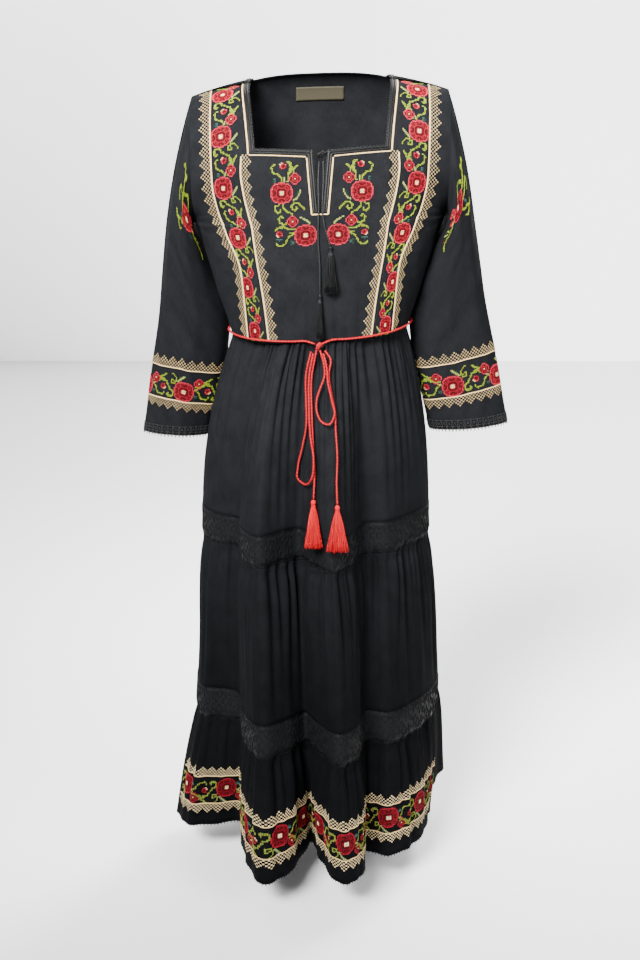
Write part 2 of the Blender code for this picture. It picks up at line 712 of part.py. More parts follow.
def ring_facing(rings):
    """The outward direction at each point of a stack of closed rings."""
    along = np.roll(rings, -1, axis=1) - np.roll(rings, 1, axis=1)
    down = np.gradient(rings, axis=0)
    facing = unit(np.cross(down, along))
    from_middle = rings - rings.mean(axis=1, keepdims=True)
    if np.sum(facing * from_middle) < 0:
        facing = -facing
    return facing


def make_sleeve(side):
    """A sleeve from its armhole to its cuff, and the narrow edging below it."""
    turns = np.linspace(0, 2 * math.pi, SLEEVE_COLUMN_COUNT, endpoint=False)
    rings = sleeve_rings(side, turns, np.arange(len(SLEEVE), dtype=float))
    facing = ring_facing(rings)
    from_middle = rings[0] - rings[0].mean(axis=0)
    facing[0] = flatten(from_middle, 0)
    run = unit(rings[-1] - rings[-2])
    panel(f"sleeve_{side}", rings, facing, "cotton", closed=True)
    edging = np.stack([rings[-1] + run * SEAM_GAP, rings[-1] + run * CUFF_EDGING])
    panel(f"cuff_edging_{side}", edging, np.stack([facing[-1], facing[-1]]), "edging", closed=True)


def fold_places(z):
    """Where each fold line stands in plan at a height."""
    table = np.array(list(FOLDS.values()), dtype=float)
    waist_turn = np.radians(table[:, 0])
    depth = np.where(np.cos(waist_turn) > 0, -middle_line("front", "y", 2.0), middle_line("back", "y", 2.0))
    half_width = SIDE[-1][1]
    waist = np.stack([half_width * np.sin(waist_turn), -depth * np.cos(waist_turn)], axis=1)
    levels = np.array([(LACE_1_TOP_Z + LACE_1_BOTTOM_Z) / 2, (LACE_2_TOP_Z + LACE_2_BOTTOM_Z) / 2, HEM_Z])
    places = np.empty((len(table), 2))
    if z > levels[0]:
        share = (WAIST_Z - z) / (WAIST_Z - levels[0])
        across = 1 - (1 - share) ** FLARE_ACROSS
        out = 1 - (1 - share) ** FLARE_OUT
        places[:, 0] = waist[:, 0] + (table[:, 1] - waist[:, 0]) * across
        places[:, 1] = waist[:, 1] + (table[:, 2] - waist[:, 1]) * out
        return places
    for axis in (0, 1):
        for line, numbers in enumerate(table):
            places[line, axis] = smooth_read(levels, numbers[1 + axis :: 2], z)
    return places


def skirt_plan(line, z):
    """The skirt's outline in plan at a height, at places counted in fold lines."""
    places = fold_places(z)
    count = len(places)
    first = np.floor(line).astype(int)
    share = (line - first)[:, None]
    before, start, end, after = (places[(first + step) % count] for step in (-1, 0, 1, 2))
    gap_0 = np.linalg.norm(start - before, axis=1, keepdims=True) ** 0.5
    gap_1 = np.linalg.norm(end - start, axis=1, keepdims=True) ** 0.5
    gap_2 = np.linalg.norm(after - end, axis=1, keepdims=True) ** 0.5
    leave = (start - before) / gap_0 - (end - before) / (gap_0 + gap_1) + (end - start) / gap_1
    arrive = (end - start) / gap_1 - (after - start) / (gap_1 + gap_2) + (after - end) / gap_2
    leave = leave * gap_1
    arrive = arrive * gap_1
    return (
        (1 + 2 * share) * (1 - share) ** 2 * start
        + share * (1 - share) ** 2 * leave
        + share**2 * (3 - 2 * share) * end
        + share**2 * (share - 1) * arrive
    )


def even_lines(start, stop, count):
    """Places between two fold lines, evenly spaced along the cloth halfway down the skirt."""
    fine = np.linspace(start, stop, 400)
    outline = skirt_plan(fine, (LACE_1_BOTTOM_Z + LACE_2_TOP_Z) / 2)
    lengths = np.concatenate([[0], np.cumsum(np.linalg.norm(np.diff(outline, axis=0), axis=1))])
    return np.interp(np.linspace(0, lengths[-1], count + 1), lengths, fine)


FRONT_COLUMNS = FRONT_WAVES * COLUMNS_PER_WAVE
BACK_COLUMNS = BACK_WAVES * COLUMNS_PER_WAVE


def gather_height(z):
    """Height of the small gathers at a height: they spring from each tier's upper seam and fade."""
    height = 0.0
    for seam in (WAIST_Z, LACE_1_BOTTOM_Z, LACE_2_BOTTOM_Z):
        drop = seam - z
        if drop >= 0:
            height = GATHER_HEIGHT * (0.5 + 0.5 * min(drop / 0.03, 1.0)) * math.exp(-((drop / GATHER_REACH) ** 2))
    return height


def puff(z):
    """How far a gathered tier swells out below its lace."""
    for seam in (LACE_2_BOTTOM_Z, LACE_1_BOTTOM_Z):
        drop = (seam - z) / PUFF_REACH
        if drop >= 0:
            return PUFF * drop * math.exp(1 - drop)
    return 0.0


def skirt_ring(z):
    """One closed ring of the skirt's middle points, seam to seam and round."""
    lines = np.concatenate(
        [
            even_lines(0, FRONT_SPAN, FRONT_COLUMNS)[:-1],
            even_lines(FRONT_SPAN, len(FOLDS), BACK_COLUMNS)[:-1],
        ]
    )
    plan = skirt_plan(lines, z)
    tangent = np.roll(plan, -1, axis=0) - np.roll(plan, 1, axis=0)
    outward = unit(np.stack([tangent[:, 1], -tangent[:, 0]], axis=1))
    phase = 2 * math.pi * np.arange(len(lines)) / COLUMNS_PER_WAVE
    plan = plan + outward * (puff(z) + gather_height(z) * np.sin(phase))[:, None]
    return np.column_stack([plan, np.full(len(lines), z)])


def make_tier(name, levels, finish):
    """Front and back half of one skirt tier, lace band or hem edging, between level seams."""
    rings = np.stack([skirt_ring(z) for z in levels])
    rings[0, :, 2] -= HALF_GAP
    rings[-1, :, 2] += HALF_GAP
    facing = ring_facing(rings)
    facing[0] = flatten(facing[0], 2)
    facing[-1] = flatten(facing[-1], 2)
    if name == "hem_edging":
        return panel(name, rings, facing, finish, closed=True)
    front = draw_in(rings[:, : FRONT_COLUMNS + 1], first=HALF_GAP, last=HALF_GAP)
    panel(f"{name}_front", front, facing[:, : FRONT_COLUMNS + 1], finish)
    around = np.concatenate([np.arange(FRONT_COLUMNS, FRONT_COLUMNS + BACK_COLUMNS), [0]])
    back = draw_in(rings[:, around], first=HALF_GAP, last=HALF_GAP)
    return panel(f"{name}_back", back, facing[:, around], finish)


def make_skirt():
    """The three tiers, the two laces and the hem's edging."""
    make_tier("skirt_upper", (WAIST_Z, -0.400, -0.432, -0.480, -0.560, LACE_1_TOP_Z), "cotton")
    make_tier("lace_upper", (LACE_1_TOP_Z, LACE_1_BOTTOM_Z), "lace")
    make_tier("skirt_middle", (LACE_1_BOTTOM_Z, -0.765, -0.825, -0.900, LACE_2_TOP_Z), "cotton")
    make_tier("lace_lower", (LACE_2_TOP_Z, LACE_2_BOTTOM_Z), "lace")
    make_tier("skirt_lower", (LACE_2_BOTTOM_Z, -1.075, -1.145, HEM_Z), "cotton")
    make_tier("hem_edging", (HEM_Z, HEM_EDGING_Z), "edging")


def cloth_front(x, z):
    """The outer face of the front at a place: Y of the bodice above the waist, of the skirt below."""
    if z > WAIST_Z:
        row = float(row_at("front", x, z))
        return float(bodice("front", float(turn_at("front", x, row)), row)[1]) - WALL / 2
    lines = np.linspace(1, FRONT_SPAN - 1, 300)
    plan = skirt_plan(lines, z)
    near = x + np.linspace(-CORD_REST, CORD_REST, 5)
    return float(np.interp(near, plan[:, 0], plan[:, 1]).min()) - WALL / 2 - gather_height(z)


def smooth_route(points, count):
    """A smooth curve through route points, read at evenly spaced places."""
    points = np.asarray(points, dtype=float)
    lengths = np.concatenate([[0], np.cumsum(np.linalg.norm(np.diff(points, axis=0), axis=1))])
    fine_at = np.linspace(0, lengths[-1], 400)
    tangents = np.gradient(points, lengths, axis=0)
    span = np.clip(np.searchsorted(lengths, fine_at, side="right") - 1, 0, len(points) - 2)
    width = (lengths[span + 1] - lengths[span])[:, None]
    t = (fine_at[:, None] - lengths[span][:, None]) / width
    fine = (
        (1 + 2 * t) * (1 - t) ** 2 * points[span]
        + t * (1 - t) ** 2 * width * tangents[span]
        + t * t * (3 - 2 * t) * points[span + 1]
        + t * t * (t - 1) * width * tangents[span + 1]
    )
    run = np.concatenate([[0], np.cumsum(np.linalg.norm(np.diff(fine, axis=0), axis=1))])
    at = np.linspace(0, run[-1], count)
    return np.column_stack([np.interp(at, run, fine[:, axis]) for axis in range(3)])


def on_cloth(route, count):
    """A smooth cord along a route, in space: each point stands its own distance off the front."""
    points = smooth_route([(x, off, z) for x, z, off in route], count)
    for point in points:
        point[1] = cloth_front(point[0], point[2]) - point[1]
    return points


def add_cord(name, points, radius, finish):
    """A round cord along points, as a curve with a bevel and closed ends."""
    curve = bpy.data.curves.new(name, "CURVE")
    curve.dimensions = "3D"
    curve.bevel_depth = radius
    curve.bevel_resolution = 2
    curve.use_fill_caps = True
    curve.resolution_u = 1
    curve.render_resolution_u = 0
    spline = curve.splines.new("POLY")
    hung = hang(points)
    spline.points.add(len(hung) - 1)
    for place, point in zip(spline.points, hung):
        place.co = (*map(float, point), 1.0)
    made = bpy.data.objects.new(name, curve)
    bpy.context.scene.collection.objects.link(made)
    curve.materials.append(material(finish))
    return made


def ball(name, centre, radii, finish):
    """A small rounded knot."""
    rings = 7
    around = 10
    points = [(centre[0], centre[1], centre[2] + radii[2])]
    for ring in range(1, rings):
        polar = math.pi * ring / rings
        for step in range(around):
            turn = 2 * math.pi * step / around
            points.append(
                (
                    centre[0] + radii[0] * math.sin(polar) * math.cos(turn),
                    centre[1] + radii[1] * math.sin(polar) * math.sin(turn),
                    centre[2] + radii[2] * math.cos(polar),
                )
            )
    points.append((centre[0], centre[1], centre[2] - radii[2]))
    last = len(points) - 1
    faces = []
    for step in range(around):
        after = (step + 1) % around
        faces.append([0, 1 + step, 1 + after])
        for ring in range(rings - 2):
            top = 1 + ring * around
            low = top + around
            faces.append([top + step, low + step, low + after, top + after])
        base = 1 + (rings - 2) * around
        faces.append([last, base + after, base + step])
    return add_mesh(name, np.array(points), faces, finish)


def knot_middle():
    """The belt knot's middle, standing off the gathers below the belt."""
    stand_off = KNOT_RADII[1] + SEAM_GAP
    front = min(cloth_front(KNOT_X, z) for z in (KNOT_Z + 0.004, KNOT_Z - 0.004))
    return (KNOT_X, front - stand_off - 0.001, KNOT_Z)


def make_belt():
    """The belt cord round the waist, its knot, two loops and two ends."""
    knot = knot_middle()
    off = WALL / 2 + BELT_RADIUS + SEAM_GAP + BELT_EASE
    turns = np.linspace(0, 2 * math.pi, 24, endpoint=False)[1:]
    route = []
    row = float(row_at("front", 0.0, BELT_Z))
    for turn in turns:
        side = "front" if math.cos(turn) > 0 else "back"
        across = turn if turn <= math.pi / 2 else math.pi - turn if turn <= 1.5 * math.pi else turn - 2 * math.pi
        point = bodice(side, across, row)
        facing = flatten(bodice_facing(side, across, row), 2)
        route.append(point + facing * off)
    clear = KNOT_RADII[0] - SEAM_GAP
    bend = route[0][0] * 0.55
    start = [knot[0] + clear, knot[1] + 0.0005, BELT_Z - 0.004]
    end = [knot[0] - clear, knot[1] + 0.0005, BELT_Z - 0.004]
    near_start = [knot[0] + bend, route[0][1] - 0.0022, BELT_Z]
    near_end = [knot[0] - bend, route[-1][1] - 0.0022, BELT_Z]
    points = smooth_route([start, near_start, *route, near_end, end], BELT_POINTS)
    add_cord("belt_cord", points, BELT_RADIUS, "coral")
    ball("belt_knot", knot, KNOT_RADII, "coral")
    for name, route in BOW_ROUTES.items():
        add_cord(name, on_cloth(route, ROUTE_POINTS[name]), BELT_RADIUS, "coral")


def make_neck_tie():
    """The knotted neck tie and its two hanging ends."""
    front = cloth_front(SLIT_TOP_HALF, TIE_KNOT_Z)
    ball("neck_tie_knot", (TIE_KNOT_X, front, TIE_KNOT_Z), TIE_KNOT_RADII, "cord_black")
    for name, route in TIE_ROUTES.items():
        add_cord(name, on_cloth(route, TIE_POINTS), TIE_RADIUS, "cord_black")


def make_tassel(name, x, z, off, head, length, spread, finish):
    """A tassel: a round head with the roots of its strands fused into it, each strand a thin three-sided taper."""
    y = cloth_front(x, z) - off
    made = ball(name, (x, y, z), (head, head, head * 1.15), finish)
    depth = STRAND_DEPTH * spread
    y_low = y
    for share in (0.4, 0.7, 1.0):
        for side in (-1.0, 0.0, 1.0):
            front = cloth_front(x + side * share * spread, z - share * length)
            y_low = min(y_low, y + (front - depth - STRAND_CLEAR - y) / share)
    strands = []
    for strand in range(STRANDS):
        turn = 2 * math.pi * (strand + 0.5) / STRANDS
        root = np.array([x + 0.55 * head * math.cos(turn), y + 0.55 * head * math.sin(turn), z - 0.45 * head])
        reach = spread * (0.62 + 0.38 * (strand % 3) / 2)
        drop = length * (0.93 + 0.07 * (strand % 2))
        low = np.array([x + reach * math.cos(turn), y_low + depth * math.sin(turn), z - drop])
        bow = np.array([0.12 * (low[0] - x), 0.0, 0.0])
        strands.append(make_strand(f"{name}_strand_{strand}", (root, (root + low) / 2 + bow, low), finish))
    for strand in strands:
        union = made.modifiers.new(strand.name, "BOOLEAN")
        union.operation = "UNION"
        union.solver = "EXACT"
        union.object = strand
    depsgraph = bpy.context.evaluated_depsgraph_get()
    joined = bpy.data.meshes.new_from_object(made.evaluated_get(depsgraph))
    made.modifiers.clear()
    made.data = joined
    for strand in strands:
        bpy.data.objects.remove(strand)


def make_strand(name, stops, finish):
    """One strand through three stops, three-sided and tapering a little."""
    points = []
    for step, stop in enumerate(stops):
        radius = STRAND_RADIUS * (0.9, 1.1, 0.8)[step]
        for corner in range(3):
            turn = 2 * math.pi * corner / 3
            points.append((stop[0] + radius * math.cos(turn), stop[1] + radius * math.sin(turn), stop[2]))
    faces = [[0, 1, 2], [8, 7, 6]]
    for step in range(2):
        for corner in range(3):
            after = (corner + 1) % 3
            top = 3 * step
            faces.append([top + corner, top + corner + 3, top + after + 3, top + after])
    return add_mesh(name, np.array(points), faces, finish)


def make_label():
    """The plain label inside the back neck."""
    x = np.linspace(-LABEL_HALF_WIDTH, LABEL_HALF_WIDTH, 7)
    row = np.repeat(np.array([[LABEL_TOP_ROW], [LABEL_BOTTOM_ROW]]), len(x), axis=1)
    turn = turn_at("back", np.repeat(x[None, :], 2, axis=0), row)
    facing = bodice_facing("back", turn, row)
    inset = WALL / 2 + LABEL_THICKNESS / 2 + LABEL_STAND_OFF
    panel("neck_label", bodice("back", turn, row) - facing * inset, facing, "label", wall=LABEL_THICKNESS)


def main():
    """Clears the scene and makes every piece."""
    for old in list(bpy.data.objects):
        bpy.data.objects.remove(old)
    make_front_centre()
    make_band("bodice_band_left", 1.0)
    make_band("bodice_band_right", -1.0)
    make_front_side("bodice_side_left", 1.0)
    make_front_side("bodice_side_right", -1.0)
    make_back()
    make_neck_edging("neck_edging_left", 1.0)
    make_neck_edging("neck_edging_right", -1.0)
    make_sleeve("left")
    make_sleeve("right")
    make_skirt()
    make_belt()
    make_neck_tie()
    for name, numbers in TASSELS.items():
        make_tassel(name, *numbers)
    make_label()


main()
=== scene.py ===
# %% [markdown]
# # A long black folk dress
# The dress is filled out as if someone stood in it. The solids that came out of the CAD step fix its
# size and place, and this script lays the real cloth, stitching, lace, cords and tassels over them.
# Everything is in metres, the front faces -Y, +Z is up and +X is the wearer's left.

# %% Frame and box
import math

import bpy
import numpy as np
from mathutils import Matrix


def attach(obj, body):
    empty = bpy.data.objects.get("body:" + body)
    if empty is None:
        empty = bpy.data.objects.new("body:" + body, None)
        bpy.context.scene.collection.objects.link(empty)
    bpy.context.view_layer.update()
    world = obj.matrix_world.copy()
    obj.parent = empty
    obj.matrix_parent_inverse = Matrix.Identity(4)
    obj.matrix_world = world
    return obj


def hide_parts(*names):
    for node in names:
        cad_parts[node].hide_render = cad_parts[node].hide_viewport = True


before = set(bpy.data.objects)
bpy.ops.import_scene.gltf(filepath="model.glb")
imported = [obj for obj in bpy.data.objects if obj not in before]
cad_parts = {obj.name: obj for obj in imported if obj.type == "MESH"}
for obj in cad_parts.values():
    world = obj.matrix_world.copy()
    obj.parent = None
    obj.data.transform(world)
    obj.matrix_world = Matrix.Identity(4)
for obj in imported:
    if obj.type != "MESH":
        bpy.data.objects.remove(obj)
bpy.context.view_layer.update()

# %% [markdown]
# ## Camera
# The photo was taken from a little above the shoulders, looking down by about 15 degrees. That is why
# the cuffs, the belt and both lace bands show as curves. The lens follows from how far apart the
# shoulders and the hem look.

# %% Camera
CAMERA_AT = (0.0, -2.76, 0.10)
CAMERA_DOWN = 14.8
LENS = 65.6


def deselect():
    """Nothing selected, so that the next operator acts on its own piece alone."""
    bpy.ops.object.select_all(action="DESELECT")


deselect()
bpy.ops.object.camera_add(location=CAMERA_AT, rotation=(math.radians(90 - CAMERA_DOWN), 0, 0))
camera = bpy.context.object
camera.data.lens = LENS
camera.data.sensor_width = 36
camera.data.clip_end = 50
bpy.context.scene.camera = camera
print("camera", CAMERA_AT, "looks down by", CAMERA_DOWN, "degrees")

# %% [markdown]
# ## The cut of the dress
# Every piece of cloth lies on one of three surfaces: the bodice, the sleeve and the skirt. Each surface
# is a function that turns two places on the cloth into a point in space, so that cloth, stitches and
# cords all agree on where the dress is. The tables are the dress's measures; a smooth curve is read
# through each. FOLDS gives for every fold line of the skirt its turn at the waist, and then X and Y at
# the first lace band, the second one and the hem.

# %% Measures of the bodice and of the seams
WALL = 0.0015
ARMHOLE_X = 0.197
ARMHOLE_MIDDLE_Z = -0.106
ARMHOLE_HALF_HEIGHT = 0.094
ARMHOLE_HALF_DEPTH = 0.070
WAIST_Z = -0.3765
SQUARENESS = 0.22
UPPER_WIDENING = 0.22
NECKLINE_Z = -0.0955
NECKLINE_DIP = 0.006
SHOULDER_NECK_HALF = 0.117
BACK_NECK_HALF = 0.1125
BACK_NECK_ROW = 0.25
SLIT_BOTTOM_Z = -0.184
SLIT_TOP_HALF = 0.019
SLIT_BOTTOM_HALF = 0.011
EDGING_WIDTH = 0.0075
LACE_1 = (-0.680, -0.731)
LACE_2 = (-0.986, -1.042)
HEM_Z = -1.2345
BELT_Z = -0.3712
BELT_SAG = 0.008
BELT_SAG_REACH = 0.075
BELT_FRONT_DEPTH = 0.104
LEAN = {
    "z": (0.05, -0.20, -0.37, -0.55, -0.75, -1.30),
    "rise": (0.028, 0.030, 0.048, 0.025, 0.000, 0.000),
}
MIDDLE = {
    "row": (0.00, 0.15, 0.25, 0.35, 0.50, 0.70, 1.00, 1.40, 1.75, 2.00),
    "front_y": (0.000, -0.036, -0.056, -0.075, -0.096, -0.108, -0.113, -0.114, -0.108, -0.103),
    "front_z": (0.012, 0.004, -0.012, -0.036, -0.084, -0.146, -0.200, -0.268, -0.332, -0.3765),
    "back_y": (0.000, 0.030, 0.055, 0.074, 0.089, 0.097, 0.100, 0.096, 0.090, 0.087),
    "back_z": (0.012, 0.017, 0.016, -0.002, -0.055, -0.128, -0.200, -0.268, -0.332, -0.3765),
}
SIDE = {"row": (1.00, 1.25, 1.60, 1.85, 2.00), "half_width": (0.197, 0.182, 0.163, 0.148, 0.140)}
BAND = {
    "z": (0.000, -0.060, -0.0975, -0.140, -0.184, -0.212, -0.268, -0.320, -0.3765),
    "inner": (0.1170, 0.1095, 0.1065, 0.1080, 0.1065, 0.1030, 0.0940, 0.0865, 0.0800),
    "outer": (0.167, 0.166, 0.165, 0.163, 0.154, 0.1435, 0.121, 0.1155, 0.111),
}

# %% Measures of the sleeves
SLEEVE = {
    "outer_x": (0.1973, 0.2080, 0.2185, 0.2290, 0.2385, 0.2470, 0.2560, 0.2650, 0.2790, 0.2900, 0.3010),
    "outer_z": (-0.012, -0.043, -0.083, -0.128, -0.178, -0.230, -0.288, -0.348, -0.420, -0.482, -0.5425),
    "inner_x": (0.1973, 0.2005, 0.1995, 0.1960, 0.1905, 0.1825, 0.1690, 0.1570, 0.1640, 0.1710, 0.1775),
    "inner_z": (-0.2, -0.2075, -0.215, -0.224, -0.238, -0.262, -0.301, -0.354, -0.426, -0.489, -0.5505),
    "half_depth": (0.070, 0.074, 0.078, 0.080, 0.079, 0.073, 0.063, 0.053, 0.045, 0.042, 0.041),
    "middle_y": (0.000, 0.000, 0.001, 0.003, 0.006, 0.010, 0.015, 0.022, 0.033, 0.044, 0.055),
}
SLEEVE_SWING = 0.0075
SLEEVE_PUSH_BACK = {"left": 0.0, "right": 0.028}
SLEEVE_NARROWING = {"left": 0.002, "right": 0.004}
SLEEVE_DROP = {"left": 0.005, "right": 0.011}

# %% Measures of the skirt
FOLDS = {
    "seam_right": (-90, -0.195, 0.045, -0.207, 0.035, -0.247, 0.040),
    "a_ridge": (-67, -0.177, -0.006, -0.193, -0.008, -0.222, -0.014),
    "a_middle": (-51, -0.153, -0.032, -0.161, -0.014, -0.181, -0.010),
    "ab_valley": (-38, -0.132, -0.044, -0.135, -0.030, -0.138, -0.002),
    "b_left": (-32, -0.1245, -0.105, -0.124, -0.115, -0.127, -0.110),
    "b_ridge": (-24, -0.096, -0.156, -0.092, -0.182, -0.090, -0.228),
    "b_right": (-15, -0.060, -0.127, -0.051, -0.152, -0.046, -0.180),
    "bc_valley": (-7, -0.033, -0.110, -0.023, -0.120, -0.015, -0.078),
    "c_left": (-1, -0.010, -0.152, -0.001, -0.165, 0.003, -0.150),
    "c_ridge": (7, 0.018, -0.184, 0.031, -0.212, 0.036, -0.228),
    "c_right": (16, 0.046, -0.145, 0.059, -0.180, 0.067, -0.198),
    "cd_valley": (24, 0.072, -0.078, 0.074, -0.112, 0.077, -0.114),
    "d_ridge": (37, 0.108, -0.072, 0.111, -0.121, 0.115, -0.128),
    "d_middle": (56, 0.147, -0.026, 0.157, -0.070, 0.165, -0.069),
    "d_edge": (74, 0.172, 0.014, 0.188, -0.004, 0.185, 0.008),
    "seam_left": (90, 0.181, 0.055, 0.200, 0.048, 0.190, 0.070),
    "de_valley": (107, 0.176, 0.096, 0.196, 0.105, 0.196, 0.130),
    "e_ridge": (124, 0.158, 0.140, 0.203, 0.170, 0.224, 0.228),
    "e_valley": (142, 0.118, 0.150, 0.140, 0.165, 0.150, 0.172),
    "f_ridge": (158, 0.080, 0.182, 0.090, 0.217, 0.093, 0.248),
    "f_valley": (172, 0.035, 0.165, 0.038, 0.176, 0.040, 0.180),
    "g_ridge": (187, -0.015, 0.186, -0.018, 0.224, -0.018, 0.252),
    "g_valley": (202, -0.062, 0.164, -0.070, 0.175, -0.075, 0.180),
    "h_ridge": (217, -0.108, 0.170, -0.122, 0.203, -0.132, 0.235),
    "h_valley": (232, -0.150, 0.130, -0.162, 0.140, -0.180, 0.148),
    "i_ridge": (251, -0.185, 0.098, -0.204, 0.108, -0.236, 0.122),
}
FRONT_SPAN = 15
FLARE_ACROSS = 2.2
FLARE_OUT = 1.5
FRONT_WAVES = 13
BACK_WAVES = 9
GATHER_HEIGHT = 0.0034
GATHER_REACH = 0.085
PUFF = 0.006
PUFF_REACH = 0.07

# %% [markdown]
# ### Smooth curves
# A pattern cutter joins marked points with a curved ruler. Here a cubic does it: it passes through every
# number of a table, and its slopes are chosen so that it never swings past them.

# %% Smooth curves


def cubic(t, start, end, leave, arrive):
    """A curve from start to end that leaves and arrives with the given slopes, at shares t."""
    return (
        (1 + 2 * t) * (1 - t) ** 2 * start
        + t * (1 - t) ** 2 * leave
        + t * t * (3 - 2 * t) * end
        + t * t * (t - 1) * arrive
    )


def smooth_read(keys, values, at):
    """Reads a smooth curve through (keys, values) without overshoot, at any places."""
    keys = np.asarray(keys, dtype=float)
    values = np.asarray(values, dtype=float)
    if keys[0] > keys[-1]:
        keys = keys[::-1]
        values = values[::-1]
    steps = np.diff(keys)
    slopes = np.diff(values) / steps
    same_way = slopes[:-1] * slopes[1:] > 0
    mean = 2 * slopes[:-1] * slopes[1:] / np.where(same_way, slopes[:-1] + slopes[1:], 1.0)
    tangents = np.concatenate([slopes[:1], np.where(same_way, mean, 0.0), slopes[-1:]])
    at = np.clip(np.asarray(at, dtype=float), keys[0], keys[-1])
    span = np.clip(np.searchsorted(keys, at, side="right") - 1, 0, len(steps) - 1)
    width = steps[span]
    t = (at - keys[span]) / width
    return cubic(t, values[span], values[span + 1], width * tangents[span], width * tangents[span + 1])


def spread(*values):
    """Numbers and arrays as float arrays of one common shape."""
    return np.broadcast_arrays(*(np.asarray(value, dtype=float) for value in values))


def fade(distance, reach):
    """One at no distance, and less and less beyond a reach."""
    return np.exp(-((distance / reach) ** 2))


def ripple(phase):
    """A wave between 0 and 1."""
    return 0.5 - 0.5 * np.sin(phase)


def unit(vectors):
    """Each vector at length one."""
    return vectors / np.maximum(np.linalg.norm(vectors, axis=-1, keepdims=True), 1e-12)


def hang(points):
    """The finished place of points: the slight lean of the dress and the dip of its belt."""
    points = np.array(points, dtype=float)
    x, y, z = (points[..., axis].copy() for axis in range(3))
    dip = BELT_SAG * fade(z - BELT_Z, BELT_SAG_REACH) * np.clip(-y / BELT_FRONT_DEPTH, 0.0, 1.0) ** 2
    points[..., 2] = z + smooth_read(LEAN["z"], LEAN["rise"], z) * x - dip
    return points


def run_of(points):
    """How far along a line of points each one lies."""
    return np.concatenate([[0.0], np.cumsum(np.linalg.norm(np.diff(points, axis=0), axis=1))])


def walk(points, run, at):
    """The places that lie certain distances along a line of points."""
    return np.column_stack([np.interp(at, run, points[:, axis]) for axis in range(3)])

# %% [markdown]
# ### The bodice
# Cut flat, a bodice is two panels joined at the shoulders and sides. In rows, it is easier: row 0 is the
# shoulder seam, row 1 the underarm and row 2 the waist, and each row bends from side seam to side seam
# round the chest or the back.

# %% The bodice's surface


def middle_line(side, what, row):
    """Y or Z of the bodice's front or back middle at a row."""
    return smooth_read(MIDDLE["row"], MIDDLE[f"{side}_{what}"], row)


def bodice_edge(side, row):
    """The outer boundary of the bodice at a row: round the armhole, then down the side seam."""
    row = np.asarray(row, dtype=float)
    turn = math.pi * np.clip(row, 0.0, 1.0)
    sign = -1.0 if side == "front" else 1.0
    x = np.where(row < 1.0, ARMHOLE_X, smooth_read(SIDE["row"], SIDE["half_width"], row))
    y = sign * ARMHOLE_HALF_DEPTH * np.sin(turn)
    armhole_z = ARMHOLE_MIDDLE_Z + ARMHOLE_HALF_HEIGHT * np.cos(turn)
    return x, y, np.where(row < 1.0, armhole_z, middle_line(side, "z", row))


def bodice(side, turn, row):
    """A point of the bodice: turn runs from -90 degrees at one side to 90 at the other, 0 in the middle."""
    turn, row = spread(turn, row)
    edge_x, edge_y, edge_z = bodice_edge(side, row)
    across = np.sin(turn)
    widening = 1.0 + UPPER_WIDENING * np.clip((1.0 - row) / 0.35, 0.0, 1.0)
    inside = across / widening
    depth = np.sqrt(np.clip(1 - inside**2, 0, 1)) * (1 + SQUARENESS * inside**2)
    limit = np.sqrt(np.clip(1 - widening**-2, 0, 1)) * (1 + SQUARENESS * widening**-2)
    plain = np.cos(turn) * (1 + SQUARENESS * across**2)
    share = np.where(widening > 1.0001, (depth - limit) / (1 - limit), plain)
    middle_y = middle_line(side, "y", row)
    middle_z = middle_line(side, "z", row)
    fall = 2.0 if side == "front" else 3.0
    x = edge_x * across
    y = edge_y + (middle_y - edge_y) * share
    z = middle_z + (edge_z - middle_z) * np.abs(across) ** fall
    return np.stack([x, y, z], axis=-1)


def bodice_facing(side, turn, row):
    """The outward direction of the bodice at a point."""
    step = 1e-4
    turn, row = spread(turn, row)
    low = np.clip(turn - step, -math.pi / 2, math.pi / 2)
    high = np.clip(turn + step, -math.pi / 2, math.pi / 2)
    along = bodice(side, high, row) - bodice(side, low, row)
    down = bodice(side, turn, np.clip(row + step, 0, 2)) - bodice(side, turn, np.clip(row - step, 0, 2))
    facing = unit(np.cross(down, along))
    return facing if side == "front" else -facing

# %% Finding places on the bodice


def turn_at(side, x, row):
    """The turn whose point has the distance x from the middle."""
    return np.arcsin(np.clip(np.asarray(x) / bodice_edge(side, row)[0], -1.0, 1.0))


def at_x(surface, side, x, row):
    """The point of a bodice surface that lies at distance x from the middle in a row."""
    return surface(side, turn_at(side, x, row), row)


def row_at(side, x, z):
    """The row whose point at distance x lies at height z."""
    x, z = spread(x, z)
    low = np.zeros(x.shape)
    high = np.full(x.shape, 2.0)
    for _ in range(26):
        middle = (low + high) / 2
        too_high = at_x(bodice, side, x, middle)[..., 2] > z
        low = np.where(too_high, middle, low)
        high = np.where(too_high, high, middle)
    return (low + high) / 2


def band_edge(which, z):
    """The distance from the middle of the band's inner or outer edge at a height."""
    return smooth_read(BAND["z"], BAND[which], z)


def neckline_z(x):
    """The front neck edge, which dips towards the slit."""
    near_middle = 1 - np.abs(np.asarray(x)) / band_edge("inner", NECKLINE_Z)
    return NECKLINE_Z - NECKLINE_DIP * np.clip(near_middle, 0, 1) ** 1.5


def slit_half(z):
    """Half the width of the slit in the front panel's cloth."""
    share = np.clip((z - NECKLINE_Z) / (SLIT_BOTTOM_Z - NECKLINE_Z), 0, 1)
    return SLIT_TOP_HALF + (SLIT_BOTTOM_HALF - SLIT_TOP_HALF) * share

# %% [markdown]
# ### The sleeve
# A set-in sleeve is a tube. Its outer and inner lines are read from the tables, and an oval is drawn
# between them at every station from the armhole, 0, to the cuff, 10.

# %% The sleeve's surface


